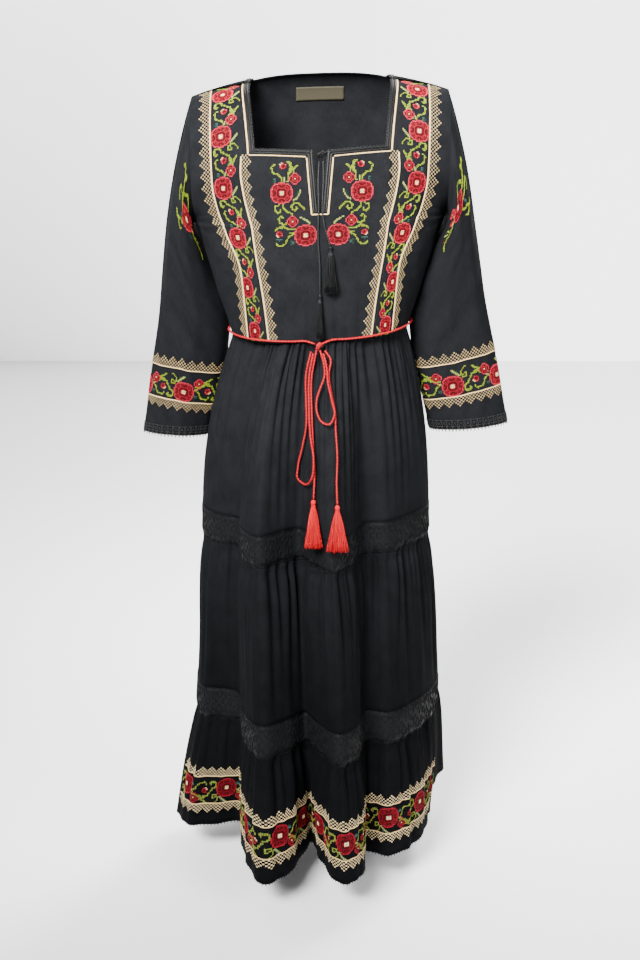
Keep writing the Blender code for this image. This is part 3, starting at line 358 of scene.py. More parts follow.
def sleeve_core(side, turn, station):
    """A point of the sleeve: turn goes round it from its outer line, station down it from 0 to 10."""
    sign = 1.0 if side == "left" else -1.0
    turn, station = spread(turn, station)
    keys = np.arange(len(SLEEVE["outer_x"]))
    read = {name: smooth_read(keys, values, station) for name, values in SLEEVE.items()}
    hung = np.clip((-0.2 - read["outer_z"]) / 0.34, 0.0, 1.0) ** 1.2
    outer_x = read["outer_x"] + sign * SLEEVE_SWING * hung
    inner_x = read["inner_x"] + SLEEVE_NARROWING[side] * hung
    middle_y = read["middle_y"] + SLEEVE_PUSH_BACK[side] * hung
    x = (outer_x + inner_x) / 2 + (outer_x - inner_x) / 2 * np.cos(turn)
    y = middle_y - read["half_depth"] * np.sin(turn)
    drop = SLEEVE_DROP[side] * hung
    reach_z = (read["outer_z"] - read["inner_z"]) / 2
    z = (read["outer_z"] + read["inner_z"]) / 2 - drop + reach_z * np.cos(turn)
    return np.stack([sign * x, y, z], axis=-1)

# %% [markdown]
# ### The skirt
# Seen from above, the skirt is one closed wavy line. Each fold line is a point of it that moves outwards
# on its way down, and a curve that passes through all of them gives the line at any height.

# %% The skirt's surface


def fold_places(z):
    """Where each fold line stands in plan at a height."""
    table = np.array(list(FOLDS.values()), dtype=float)
    waist_turn = np.radians(table[:, 0])
    depth = np.where(np.cos(waist_turn) > 0, -middle_line("front", "y", 2.0), middle_line("back", "y", 2.0))
    waist = np.stack([SIDE["half_width"][-1] * np.sin(waist_turn), -depth * np.cos(waist_turn)], axis=1)
    levels = np.array([sum(LACE_1) / 2, sum(LACE_2) / 2, HEM_Z])
    if z > levels[0]:
        share = (WAIST_Z - z) / (WAIST_Z - levels[0])
        flare = np.array([1 - (1 - share) ** FLARE_ACROSS, 1 - (1 - share) ** FLARE_OUT])
        return waist + (table[:, 1:3] - waist) * flare
    places = np.empty((len(table), 2))
    for axis in (0, 1):
        for line, numbers in enumerate(table):
            places[line, axis] = smooth_read(levels, numbers[1 + axis :: 2], z)
    return places


def skirt_plan(line, z):
    """The skirt's outline in plan at a height, at places counted in fold lines."""
    places = fold_places(z)
    count = len(places)
    first = np.floor(line).astype(int)
    share = (line - first)[:, None]
    before, start, end, after = (places[(first + step) % count] for step in (-1, 0, 1, 2))
    gap_0 = np.linalg.norm(start - before, axis=1, keepdims=True) ** 0.5
    gap_1 = np.linalg.norm(end - start, axis=1, keepdims=True) ** 0.5
    gap_2 = np.linalg.norm(after - end, axis=1, keepdims=True) ** 0.5
    leave = (start - before) / gap_0 - (end - before) / (gap_0 + gap_1) + (end - start) / gap_1
    arrive = (end - start) / gap_1 - (after - start) / (gap_1 + gap_2) + (after - end) / gap_2
    return cubic(share, start, end, leave * gap_1, arrive * gap_1)


TIER_TOPS = (WAIST_Z, LACE_1[1], LACE_2[1])
FINE_LINES = np.linspace(0, len(FOLDS), 2601)
HALFWAY_RUN = run_of(skirt_plan(FINE_LINES, (LACE_1[1] + LACE_2[0]) / 2))
FRONT_RUN = float(np.interp(FRONT_SPAN, FINE_LINES, HALFWAY_RUN))


def even_lines(start, stop, count):
    """Places between two fold lines, evenly spaced along the cloth halfway down the skirt."""
    ends = np.interp([start, stop], FINE_LINES, HALFWAY_RUN)
    return np.interp(np.linspace(*ends, count + 1), HALFWAY_RUN, FINE_LINES)

# %% Large gathers and the puff of a tier


def gather_phase(line):
    """Place among the large gathers, in turns: whole numbers of waves in front and behind."""
    run = np.interp(line, FINE_LINES, HALFWAY_RUN)
    front = run / FRONT_RUN * FRONT_WAVES
    back = (run - FRONT_RUN) / (HALFWAY_RUN[-1] - FRONT_RUN) * BACK_WAVES
    return np.where(run < FRONT_RUN, front, back)


def gather_height(z):
    """Height of the large gathers: they spring from each tier's upper seam and fade."""
    height = 0.0
    for seam in TIER_TOPS:
        drop = seam - z
        if drop >= 0:
            height = GATHER_HEIGHT * (0.5 + 0.5 * min(drop / 0.03, 1.0)) * fade(drop, GATHER_REACH)
    return height


def puff(z):
    """How far a gathered tier swells out below its lace."""
    for seam in (LACE_2[1], LACE_1[1]):
        drop = (seam - z) / PUFF_REACH
        if drop >= 0:
            return PUFF * drop * math.exp(1 - drop)
    return 0.0

# %% [markdown]
# ## Creases
# The solids carry the large folds. Real cotton also has fine gathers below each seam, where a long edge
# is drawn up on a short one, and faint long creases. They are added here along the cloth's own facing,
# always inwards, so that nothing grows past the solids and the cords still lie on top.

# %% Fine gathers and creases
FINE_GATHERS = {
    "waves": (61, 83, 112, 149),
    "depth": (0.0042, 0.0030, 0.0020, 0.0012),
    "reach": (0.170, 0.120, 0.080, 0.050),
    "start": (0.4, 2.1, 4.0, 1.3),
}
LONG_CREASES = {
    "waves": (34, 47, 71),
    "depth": (0.0026, 0.0020, 0.0011),
    "drift": (9.0, -7.0, 12.0),
    "start": (0.9, 3.3, 5.1),
}


def fine_gathers(share, drop):
    """Depth of the fine gathers at a share of the way round, a drop below their seam."""
    depth = np.zeros(np.shape(share))
    rise = 0.35 + 0.65 * np.clip(drop / 0.012, 0, 1)
    for waves, size, reach, start in zip(*FINE_GATHERS.values()):
        uneven = 0.6 * np.sin(2 * math.pi * waves / 7 * share + start * 3)
        wave = ripple(2 * math.pi * waves * share + start + uneven)
        depth = depth + size * wave * rise * fade(drop, reach)
    return depth


def long_creases(share, z):
    """Depth of the faint long creases that run down the skirt."""
    depth = np.zeros(np.shape(share))
    for waves, size, drift, start in zip(*LONG_CREASES.values()):
        wander = 0.8 * np.sin(drift * z + start)
        wave = ripple(2 * math.pi * waves * share + start + wander)
        depth = depth + size * wave * (0.6 + 0.4 * np.sin(5 * z + start * 2))
    return depth

# %% The skirt's cloth


def skirt(line, z):
    """A point of the skirt's cloth or lace, at places counted in fold lines and at heights."""
    line, z = spread(line, z)
    flat_line = np.mod(line.ravel(), len(FOLDS))
    flat_z = z.ravel()
    points = np.empty((len(flat_z), 3))
    levels, which = np.unique(flat_z.round(6), return_inverse=True)
    for index, level in enumerate(levels):
        at = which == index
        lines = flat_line[at]
        plan = skirt_plan(lines, level)
        tangent = skirt_plan(lines + 0.01, level) - skirt_plan(lines - 0.01, level)
        outward = unit(np.stack([tangent[:, 1], -tangent[:, 0]], axis=1))
        out = puff(level) + gather_height(level) * np.sin(2 * math.pi * gather_phase(lines))
        share = np.interp(lines, FINE_LINES, HALFWAY_RUN) / HALFWAY_RUN[-1]
        in_lace = LACE_1[1] < level < LACE_1[0] or LACE_2[1] < level < LACE_2[0]
        if not in_lace:
            seam = [edge for edge in TIER_TOPS if edge >= level - 1e-6][-1]
            above_lace = [level - edge for edge in (LACE_1[0], LACE_2[0]) if level >= edge]
            calm = np.clip(min(above_lace, default=1.0) / 0.05, 0, 1)
            out = out - fine_gathers(share, max(seam - level, 0)) - long_creases(share, level) * calm
        points[at, :2] = plan + outward * out[:, None]
        points[at, 2] = level
    return points.reshape(*line.shape, 3)

# %% [markdown]
# ### Creases of the sleeves and the bodice
# A sleeve bags towards the body below the elbow and is creased lengthwise. The bodice is drawn in above
# the belt, eased under the arms and lies flat where the bands stiffen it.

# %% Creases of the sleeves
SLEEVE_BAG = {
    "station": (0.0, 1.5, 3.0, 4.0, 5.0, 6.0, 7.0, 7.8, 8.6, 10.0),
    "left": (0.0, 0.001, 0.002, 0.005, 0.008, 0.011, 0.015, 0.016, 0.010, 0.0),
    "right": (0.0, 0.003, 0.004, 0.006, 0.009, 0.010, 0.013, 0.014, 0.008, 0.0),
}
SLEEVE_CREASES = {
    "folds": (5, 8, 13),
    "depth": (0.0026, 0.0016, 0.0008),
    "twist": (0.55, -0.40, 0.70),
    "start": (0.6, 2.9, 4.4),
}


def sleeve(side, turn, station):
    """A point of the sleeve's cloth, with its soft folds drawn inwards."""
    turn, station = spread(turn, station)
    step = 1e-3
    middle = sleeve_core(side, turn, station)
    along = sleeve_core(side, turn + step, station) - sleeve_core(side, turn - step, station)
    upper = sleeve_core(side, turn, np.clip(station - step, 0, 10))
    lower = sleeve_core(side, turn, np.clip(station + step, 0, 10))
    facing = unit(np.cross(along, lower - upper))
    if side == "right":
        facing = -facing
    depth = np.zeros(turn.shape)
    for folds, size, twist, start in zip(*SLEEVE_CREASES.values()):
        depth = depth + size * ripple(folds * turn + twist * station + start)
    depth = depth * np.clip(station / 1.2, 0, 1) * np.clip((10 - station) / 1.5 + 0.35, 0, 1)
    inner = np.clip(-np.cos(turn), 0, 1) ** 2
    bag = smooth_read(SLEEVE_BAG["station"], SLEEVE_BAG[side], station) * inner
    return middle + facing * (bag - depth * (1 - 0.7 * inner))[..., None]

# %% Creases of the bodice
UNDERARM_EASE = 0.14
DRAWN_IN = {"gather": 0.0022, "fine": 0.0010, "long": 0.0015, "drape": 0.0014}
DRAPE_Z = -0.23
BAND_CALM = 0.012


def cloth_bodice(side, turn, row):
    """A point of the bodice's cloth, with its creases drawn inwards."""
    turn, row = spread(turn, row)
    ease = UNDERARM_EASE * fade(row - 1, 0.2) * np.clip(np.cos(turn) / 0.4, 0, 1)
    around = bodice(side, turn, row - ease) / 4 + bodice(side, turn, row + ease) / 4
    point = bodice(side, turn, row) / 2 + around
    x, _, z = (point[..., axis] for axis in range(3))
    half = np.abs(x)
    rise = z - WAIST_Z
    gather = ripple(2 * math.pi * x / 0.0165 + 1.5 * np.sin(x * 60)) * fade(rise, 0.075)
    fine = ripple(2 * math.pi * x / 0.0093 + 0.7) * fade(rise, 0.03)
    long = ripple(2 * math.pi * x / 0.034 + 1.2 * np.sin(x * 45 + 9 * z)) * fade(rise, 0.17)
    drape = 0.5 - 0.5 * np.cos(2 * math.pi * (half * 10 + z * 15 + 0.22 * np.sin(half * 50)))
    drape = drape * fade(z - DRAPE_Z, 0.09) * np.clip((half - 0.05) / 0.06, 0, 1)
    drawn = DRAWN_IN["gather"] * gather + DRAWN_IN["fine"] * fine + DRAWN_IN["long"] * long
    drawn = drawn + DRAWN_IN["drape"] * drape
    if side == "front":
        outside = np.clip((half - band_edge("outer", z) - 0.004) / BAND_CALM, 0, 1)
        inside = np.clip((band_edge("inner", z) - half - BAND_CALM) / BAND_CALM, 0, 1)
        drawn = drawn * np.maximum(outside, inside)
    drawn = drawn * np.clip(np.cos(turn) / 0.3, 0, 1)
    return point - bodice_facing(side, turn, row) * drawn[..., None]


def front_at(x, z):
    """A point of the front bodice's cloth at a distance from the middle and a height."""
    return at_x(cloth_bodice, "front", x, row_at("front", x, z))


print("skirt round", round(float(HALFWAY_RUN[-1]), 3), "m halfway down")

# %% [markdown]
# ## Cords
# The belt is one twisted cord drawn round the waist and tied in a bow in front: a knot, two loops and
# two ends with tassels. The neck tie is a thinner one. A twisted cord could be three wound tubes, but a
# single tube with a lobed section that turns as it goes gives the same look, stays closed and keeps its
# true thickness.

# %% Routes of the belt's bow
BELT_RADIUS = 0.00175
BELT_EASE = 0.0009
TIE_RADIUS = 0.00125
CORD_REST = 0.004
SEAM_GAP = 0.0003
KNOT = (-0.0020, -0.3790)
KNOT_RADII = (0.0062, 0.0045, 0.0068)
TIE_KNOT = (0.0015, -0.0985)
TIE_KNOT_RADII = (0.0092, 0.0040, 0.0060)
BOW_ROUTES = {
    "belt_end_right": (
        (-0.0055, -0.3858, 0.0034), (-0.0125, -0.4250, 0.0024), (-0.0125, -0.4900, 0.0024),
        (-0.0105, -0.5400, 0.0024), (-0.0085, -0.5800, 0.0024), (-0.0100, -0.6190, 0.0024),
    ),
    "belt_loop_right": (
        (-0.0140, -0.3880, 0.0026), (-0.0215, -0.4250, 0.0026), (-0.0215, -0.4700, 0.0026),
        (-0.0210, -0.5050, 0.0026), (-0.0275, -0.5450, 0.0026), (-0.0345, -0.5790, 0.0026),
        (-0.0345, -0.5970, 0.0050), (-0.0240, -0.6010, 0.0075), (-0.0142, -0.5890, 0.0105),
        (-0.0100, -0.5600, 0.0115), (-0.0150, -0.5200, 0.0112), (-0.0172, -0.4700, 0.0092),
        (-0.0165, -0.4250, 0.0078), (-0.0105, -0.3900, 0.0078),
    ),
    "belt_end_left": (
        (0.0075, -0.3870, 0.0024), (0.0160, -0.4000, 0.0024), (0.0135, -0.4230, 0.0024),
        (0.0170, -0.4530, 0.0024), (0.0225, -0.4800, 0.0024), (0.0240, -0.5100, 0.0024),
        (0.0265, -0.5500, 0.0024), (0.0255, -0.5900, 0.0024), (0.0265, -0.6220, 0.0024),
    ),
    "belt_loop_left": (
        (0.0000, -0.3860, 0.0040), (0.0060, -0.4080, 0.0026), (0.0072, -0.4250, 0.0026),
        (0.0000, -0.4480, 0.0020), (-0.0050, -0.4650, 0.0024), (-0.0045, -0.4850, 0.0040),
        (0.0040, -0.4990, 0.0065), (0.0140, -0.5010, 0.0078), (0.0215, -0.4900, 0.0078),
        (0.0180, -0.4650, 0.0078), (0.0120, -0.4350, 0.0078), (0.0100, -0.4100, 0.0078),
        (0.0050, -0.3900, 0.0078),
    ),
}

# %% Routes of the neck tie
TIE_ROUTES = {
    "neck_tie_end_right": (
        (-0.0015, -0.1080, 0.0000), (-0.0030, -0.1350, 0.0012), (-0.0024, -0.1580, 0.0032),
        (-0.0022, -0.1800, 0.0032), (-0.0030, -0.2200, 0.0030), (-0.0005, -0.2600, 0.0030),
        (0.0000, -0.3020, 0.0030),
    ),
    "neck_tie_end_left": (
        (0.0045, -0.1080, 0.0000), (0.0050, -0.1350, 0.0012), (0.0040, -0.1580, 0.0032),
        (0.0035, -0.1800, 0.0032), (0.0080, -0.2080, 0.0030), (0.0150, -0.2325, 0.0030),
    ),
}

# %% [markdown]
# ### Laying a cord on the cloth
# A route says where a cord runs in front view, and how far its middle stands off the cloth. Depth comes
# from the surface behind it, so a cord follows the cloth that carries it.

# %% Laying a cord on the cloth
CORD_STEP = 0.0009


def cloth_front(x, z):
    """The outer face of the front at a place: Y of the bodice above the waist, of the skirt below."""
    if z > WAIST_Z:
        row = float(row_at("front", x, z))
        return float(at_x(bodice, "front", x, row)[1]) - WALL / 2
    plan = skirt_plan(np.linspace(1, FRONT_SPAN - 1, 300), z)
    near = x + np.linspace(-CORD_REST, CORD_REST, 5)
    return float(np.interp(near, plan[:, 0], plan[:, 1]).min()) - WALL / 2 - gather_height(z)


def smooth_route(points, count):
    """A smooth curve through route points, read at evenly spaced places."""
    points = np.asarray(points, dtype=float)
    lengths = run_of(points)
    fine_at = np.linspace(0, lengths[-1], 400)
    tangents = np.gradient(points, lengths, axis=0)
    span = np.clip(np.searchsorted(lengths, fine_at, side="right") - 1, 0, len(points) - 2)
    width = (lengths[span + 1] - lengths[span])[:, None]
    t = (fine_at[:, None] - lengths[span][:, None]) / width
    fine = cubic(t, points[span], points[span + 1], width * tangents[span], width * tangents[span + 1])
    run = run_of(fine)
    return walk(fine, run, np.linspace(0, run[-1], count))


def respace(points, step):
    """The same line with a point every step."""
    run = run_of(points)
    return walk(points, run, np.linspace(0, run[-1], max(int(round(run[-1] / step)), 4) + 1))


def on_cloth(route):
    """A smooth cord along a route: each point stands its own distance off the front."""
    points = smooth_route([(x, off, z) for x, z, off in route], 90)
    for point in points:
        point[1] = cloth_front(point[0], point[2]) - point[1]
    return points

# %% The belt's way


def knot_middle():
    """The belt knot's middle, standing off the gathers below the belt."""
    front = min(cloth_front(KNOT[0], z) for z in (KNOT[1] + 0.004, KNOT[1] - 0.004))
    return np.array([KNOT[0], front - KNOT_RADII[1] - SEAM_GAP - 0.001, KNOT[1]])


def belt_route():
    """The belt's way round the waist, from the knot and back to it."""
    knot = knot_middle()
    off = WALL / 2 + BELT_RADIUS + SEAM_GAP + BELT_EASE
    row = float(row_at("front", 0.0, BELT_Z))
    route = []
    for turn in np.linspace(0, 2 * math.pi, 24, endpoint=False)[1:]:
        side = "front" if math.cos(turn) > 0 else "back"
        if turn <= math.pi / 2:
            across = turn
        else:
            across = math.pi - turn if turn <= 1.5 * math.pi else turn - 2 * math.pi
        facing = bodice_facing(side, across, row)
        facing[2] = 0.0
        route.append(bodice(side, across, row) + unit(facing) * off)
    clear = KNOT_RADII[0] - SEAM_GAP
    bend = route[0][0] * 0.55
    start = [knot[0] + clear, knot[1] + 0.0005, BELT_Z - 0.004]
    end = [knot[0] - clear, knot[1] + 0.0005, BELT_Z - 0.004]
    near_start = [knot[0] + bend, route[0][1] - 0.0022, BELT_Z]
    near_end = [knot[0] - bend, route[-1][1] - 0.0022, BELT_Z]
    return smooth_route([start, near_start, *route, near_end, end], 240)

# %% [markdown]
# ### Meshes from arrays
# Cords, yarn and stitches are too many and too curved to model by hand, so their points and faces are
# worked out and handed over at once. A shape here is a pair: its points, and its faces as lists of
# corners.

# %% Meshes from arrays


def join_dress(piece, nodes):
    """Hides the solids that a piece stands for and attaches the piece to the dress's body. The whole dress is
    one body.
    """
    if nodes:
        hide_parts(*nodes)
    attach(piece, "root")


def new_piece(name, shape, finish, slot, *nodes, smooth=True):
    """One named piece from a shape, with its finish."""
    mesh = bpy.data.meshes.new(name)
    mesh.from_pydata(shape[0], [], shape[1])
    if smooth:
        mesh.shade_smooth()
    mesh.materials.append(finish)
    piece = bpy.data.objects.new(name, mesh)
    bpy.context.scene.collection.objects.link(piece)
    join_dress(piece, nodes)
    print(name, len(mesh.polygons), "faces")
    return piece

# %% Tubes


def frames_along(points, first_side=(1.0, 0.0, 0.0)):
    """Two directions square to a line at each of its points, carried along it without twisting."""
    along = unit(np.gradient(points, axis=0))
    side = np.array(first_side, dtype=float)
    sides = np.empty(points.shape)
    for at, direction in enumerate(along):
        side = side - direction * np.dot(side, direction)
        if np.linalg.norm(side) < 1e-6:
            side = np.cross(direction, (0.0, 0.0, 1.0))
        side = side / np.linalg.norm(side)
        sides[at] = side
    return sides, np.cross(along, sides)


def tube(points, sides, ups, widths, heights, corners):
    """A closed tube about a line. Widths and heights are half-sizes: one, or per point, or per corner."""
    count = len(points)
    turn = 2 * math.pi * np.arange(corners) / corners
    widths, heights = (
        np.broadcast_to(np.reshape(size, (-1, 1)) if np.ndim(size) < 2 else size, (count, corners))
        for size in (widths, heights)
    )
    ring = (
        points[:, None]
        + sides[:, None] * (widths * np.cos(turn))[..., None]
        + ups[:, None] * (heights * np.sin(turn))[..., None]
    )
    base = np.arange(count - 1)[:, None] * corners
    here = base + np.arange(corners)
    after = base + (np.arange(corners) + 1) % corners
    quads = np.stack([here, after, after + corners, here + corners], axis=-1).reshape(-1, 4)
    faces = quads.tolist()
    faces.append(list(range(corners))[::-1])
    faces.append([(count - 1) * corners + corner for corner in range(corners)])
    return ring.reshape(-1, 3), faces


def gather_parts(parts):
    """Several (points, faces) as one."""
    points = []
    faces = []
    start = 0
    for part_points, part_faces in parts:
        points.append(part_points)
        faces += [[corner + start for corner in face] for face in part_faces]
        start += len(part_points)
    return np.concatenate(points), faces

# %% Twisted cords


def twisted(points, radius, pitch, lobes=3, corners=12, groove=0.24):
    """A twisted cord about a line: the lobes of its section turn once in every pitch."""
    points = respace(points, CORD_STEP)
    sides, ups = frames_along(points)
    run = run_of(points)[:, None]
    turn = 2 * math.pi * np.arange(corners) / corners
    swell = 1 - groove * (0.5 - 0.5 * np.cos(lobes * (turn[None, :] - 2 * math.pi * run / pitch)))
    size = radius * 1.06 * swell
    return tube(points, sides, ups, size, size, corners)

# %% [markdown]
# ## Finishes
# A small class lets shader maths be written as Python: each Term is one socket, and + and * on it add
# Math nodes. The patterns read the cloth's own UV map, laid out in metres, or the thread colours stored
# on the stitches, so they follow every fold and stay put when the view changes.

# %% Shader helper


class Term:
    """One socket of a material, with Python's operators."""

    def __init__(self, finish, socket):
        self.finish = finish
        self.socket = socket

    def math(self, operation, first, second):
        return self.finish.node("ShaderNodeMath", {"operation": operation}, {0: first, 1: second})

    def __add__(self, other):
        return self.math("ADD", self, other)

    def __mul__(self, other):
        return self.math("MULTIPLY", self, other)

    __radd__ = __add__
    __rmul__ = __mul__


class Finish:
    """One material: node() adds any node, set() feeds the shader."""

    def __init__(self, name, **constants):
        self.material = bpy.data.materials.new(name)
        self.material.use_nodes = True
        self.tree = self.material.node_tree
        self.shader = self.tree.nodes["Principled BSDF"]
        for socket, value in constants.items():
            self.shader.inputs[socket.replace("_", " ").title()].default_value = value

    def node(self, kind, settings=None, inputs=None, output=0):
        made = self.tree.nodes.new(kind)
        for name, value in (settings or {}).items():
            if name == "stops":
                ramp = made.color_ramp
                while len(ramp.elements) < len(value):
                    ramp.elements.new(0.5)
                for element, (place, colour) in zip(ramp.elements, value):
                    element.position = place
                    element.color = colour
            else:
                setattr(made, name, value)
        for name, value in (inputs or {}).items():
            self.feed(made.inputs[name], value)
        return Term(self, made.outputs[output])

    def feed(self, socket, value):
        if isinstance(value, Term):
            self.tree.links.new(value.socket, socket)
        else:
            socket.default_value = value

    def set(self, socket, value):
        self.feed(self.shader.inputs[socket], value)

    def mix(self, share, first, second):
        return self.node("ShaderNodeMix", {"data_type": "RGBA"}, {0: share, 6: first, 7: second}, output=2)

    def noise(self, vector, scale, detail):
        return self.node("ShaderNodeTexNoise", None, {"Vector": vector, "Scale": scale, "Detail": detail})

    def place(self):
        return self.node("ShaderNodeTexCoord", output=3)

    def bump(self, height, strength, distance):
        sockets = {"Height": height, "Strength": strength, "Distance": distance}
        self.set("Normal", self.node("ShaderNodeBump", None, sockets))


def grey(level, tint=(1.0, 1.0, 1.0)):
    """A dark, slightly tinted colour."""
    return (level * tint[0], level * tint[1], level * tint[2], 1.0)

# %% [markdown]
# ### Black cotton
# A light plain weave, dyed black, with thicker slub threads that show as faint streaks. It is matt, and
# its fibres catch light at grazing angles, which is sheen. The weave itself is finer than a pixel of the
# photo, so it is bump, while the folds are real.

# %% Cotton
COOL = (0.93, 0.98, 1.10)
# Painted shade: the heights over which the cotton's colour is darkened towards the hem, and how far.
PAINTED_SHADE_DOWN = {"From Min": -0.50, "From Max": -0.98, "To Min": 0.0, "To Max": 0.68}
SLUB_DOWN = (1500.0, 90.0, 1.0)
SLUB_OVER = (70.0, 1300.0, 1.0)


def make_cotton(name, low, high):
    """Slubby black cotton, with painted shade that darkens it towards the hem, where the dress falls away
    from the lamps.
    """
    finish = Finish(name, roughness=0.85, sheen_weight=0.004, sheen_roughness=0.45)
    finish.set("Sheen Tint", (0.55, 0.60, 0.70, 1.0))
    finish.set("Specular IOR Level", 0.01)
    uv = finish.node("ShaderNodeUVMap", {"uv_map": "cloth"})
    across = finish.node("ShaderNodeMapping", None, {"Vector": uv, "Scale": SLUB_DOWN})
    along = finish.node("ShaderNodeMapping", None, {"Vector": uv, "Scale": SLUB_OVER})
    slub_down = finish.noise(across, 1.0, 3.0)
    slub_over = finish.noise(along, 1.0, 3.0)
    mottle = slub_down * 0.45 + slub_over * 0.25 + finish.noise(uv, 28.0, 4.0) * 0.30
    stops = ((0.36, grey(low, COOL)), (0.66, grey(high, COOL)))
    shade = finish.node("ShaderNodeValToRGB", {"stops": stops}, {0: mottle})
    # Painted shade: lower down the skirt the base colour is mixed ever more towards a deeper black, standing
    # in for the lamps' light falling off towards the hem.
    height_here = finish.node("ShaderNodeSeparateXYZ", None, {"Vector": finish.place()}, output=2)
    painted_shade = finish.node("ShaderNodeMapRange", None, {"Value": height_here, **PAINTED_SHADE_DOWN})
    finish.set("Base Color", finish.mix(painted_shade, shade, grey(low * 0.28, COOL)))
    weave = {"Vector": uv, "Scale": 210.0, "Distortion": 0.6}
    warp, weft = (finish.node("ShaderNodeTexWave", {"bands_direction": way}, weave) for way in ("X", "Y"))
    finish.bump(warp * 0.35 + weft * 0.35 + slub_down * 0.5 + slub_over * 0.4, 0.55, 0.0006)
    return finish.material


cotton = make_cotton("black cotton", 0.0036, 0.0094)

# %% [markdown]
# ### Thread and yarn
# Embroidery cotton is slightly glossy, and each stitch keeps its own colour as an attribute. Yarn has
# two tones of one colour, mixed by a fine noise that also gives its fibres.

# %% Thread, yarn, lace and label


def make_thread():
    """Stranded cotton thread, whose colour is stored on each stitch."""
    finish = Finish("embroidery thread", roughness=0.62)
    finish.set("Specular IOR Level", 0.03)
    stored = finish.node("ShaderNodeAttribute", {"attribute_name": "thread"})
    uneven = finish.noise(finish.place(), 900.0, 2.0)
    finish.set("Base Color", finish.mix(uneven * 0.45, stored, (0.02, 0.012, 0.010, 1.0)))
    finish.bump(uneven, 0.4, 0.0003)
    return finish.material


def make_yarn(name, colour, deep, roughness, scale, shine=0.06):
    """Yarn with fine fibres along it."""
    finish = Finish(name, roughness=roughness)
    finish.set("Specular IOR Level", shine)
    fibre = finish.noise(finish.place(), scale, 4.0)
    finish.set("Base Color", finish.mix(fibre, colour, deep))
    finish.bump(fibre, 0.5, 0.0004)
    return finish.material


thread = make_thread()
cream_braid = make_yarn("cream braid", (0.60, 0.42, 0.20, 1), (0.34, 0.22, 0.09, 1), 0.6, 700.0)
coral_yarn = make_yarn("coral yarn", (0.30, 0.012, 0.014, 1), (0.15, 0.0015, 0.004, 1), 0.6, 800.0)
tassel_yarn = make_yarn("coral tassel yarn", (0.42, 0.006, 0.010, 1), (0.24, 0.0015, 0.004, 1), 0.55, 500.0)
black_yarn = make_yarn("black yarn", grey(0.0080), grey(0.0012), 0.42, 700.0, 0.08)
lace_yarn = make_yarn("black lace yarn", grey(0.0070, COOL), grey(0.0014), 0.6, 900.0, 0.04)
# Painted highlight: the crochet edge yarn and the neck tie yarn are black, and their lighter grey tone stands
# in for the glints on them, beside their real gloss.
edge_yarn = make_yarn("crochet edge yarn", grey(0.024), grey(0.002), 0.40, 700.0, 0.16)
neck_yarn = make_yarn("neck edge yarn", grey(0.011), grey(0.001), 0.40, 420.0, 0.10)
tie_yarn = make_yarn("neck tie yarn", grey(0.019), grey(0.001), 0.38, 420.0, 0.14)
label_tape = make_yarn("label tape", (0.036, 0.032, 0.021, 1), (0.024, 0.021, 0.014, 1), 0.5, 1200.0)
print("finishes", len(bpy.data.materials))

# %% [markdown]
# ### Belt, bow and ties
# Each free cord is drawn at its real thickness over the solid that stands for it. Its line and length are
# kept.

# %% Belt, loops, ends and ties
BELT_PITCH = 0.0105
TIE_PITCH = 0.0075


def lay_cord(name, route, radius, pitch, finish, slot):
    """A twisted cord that stands for its solid, with its line and its real length."""
    line = hang(route)
    shape = twisted(line, radius, pitch, lobes=2, corners=10, groove=0.5)
    piece = new_piece(f"{name}_twist", shape, finish, slot, name)
    length = float(run_of(line)[-1])
    print(name, "is", round(length, 3), "m long")
    return piece, line, length


cords = {"belt_cord": lay_cord("belt_cord", belt_route(), BELT_RADIUS, BELT_PITCH, coral_yarn, "belt_yarn")}
for name, route in BOW_ROUTES.items():
    cords[name] = lay_cord(name, on_cloth(route), BELT_RADIUS, BELT_PITCH, coral_yarn, "belt_yarn")
for name, route in TIE_ROUTES.items():
    cords[name] = lay_cord(name, on_cloth(route), TIE_RADIUS, TIE_PITCH, tie_yarn, "tie_yarn")

# %% [markdown]
# ### Knots
# A tied knot is the same cord wound on itself. Here a short twisted cord winds two and a half turns
# about the place where the ends come out, inside the size that the solid knot has.

# %% Knots
KNOT_TURNS = 2.5


def wound_knot(name, middle, radii, cord_radius, finish, slot, pitch):
    """A knot: cord wound in a few slanting turns, with its ends tucked in."""
    share = np.linspace(0, 1, 90)
    turn = 2 * math.pi * KNOT_TURNS * share
    reach = np.array(radii) - cord_radius * 0.9
    swell = np.sin(math.pi * np.clip(share, 0.06, 0.94)) ** 0.5
    winding = np.column_stack(
        [
            middle[0] + reach[0] * (0.75 * (2 * share - 1) + 0.42 * np.sin(turn)),
            middle[1] - reach[1] * np.cos(turn) * swell,
            middle[2] + reach[2] * np.sin(turn + 0.5) * swell,
        ]
    )
    new_piece(f"{name}_wound", twisted(hang(winding), cord_radius, pitch), finish, slot, name)


wound_knot("belt_knot", knot_middle(), KNOT_RADII, 0.0019, coral_yarn, "belt_yarn", BELT_PITCH)
tie_middle = (TIE_KNOT[0], cloth_front(SLIT_TOP_HALF, TIE_KNOT[1]), TIE_KNOT[1])
wound_knot("neck_tie_knot", tie_middle, TIE_KNOT_RADII, 0.0017, black_yarn, "tie_yarn", TIE_PITCH)

# %% [markdown]
# ### Tassels
# A tassel is a bundle of yarn folded over the cord's end, bound below the fold, and cut level. Each
# strand is a thin tapering tube that bows out and falls; a small round head and a binding hold them
# together.

# %% The head of a tassel


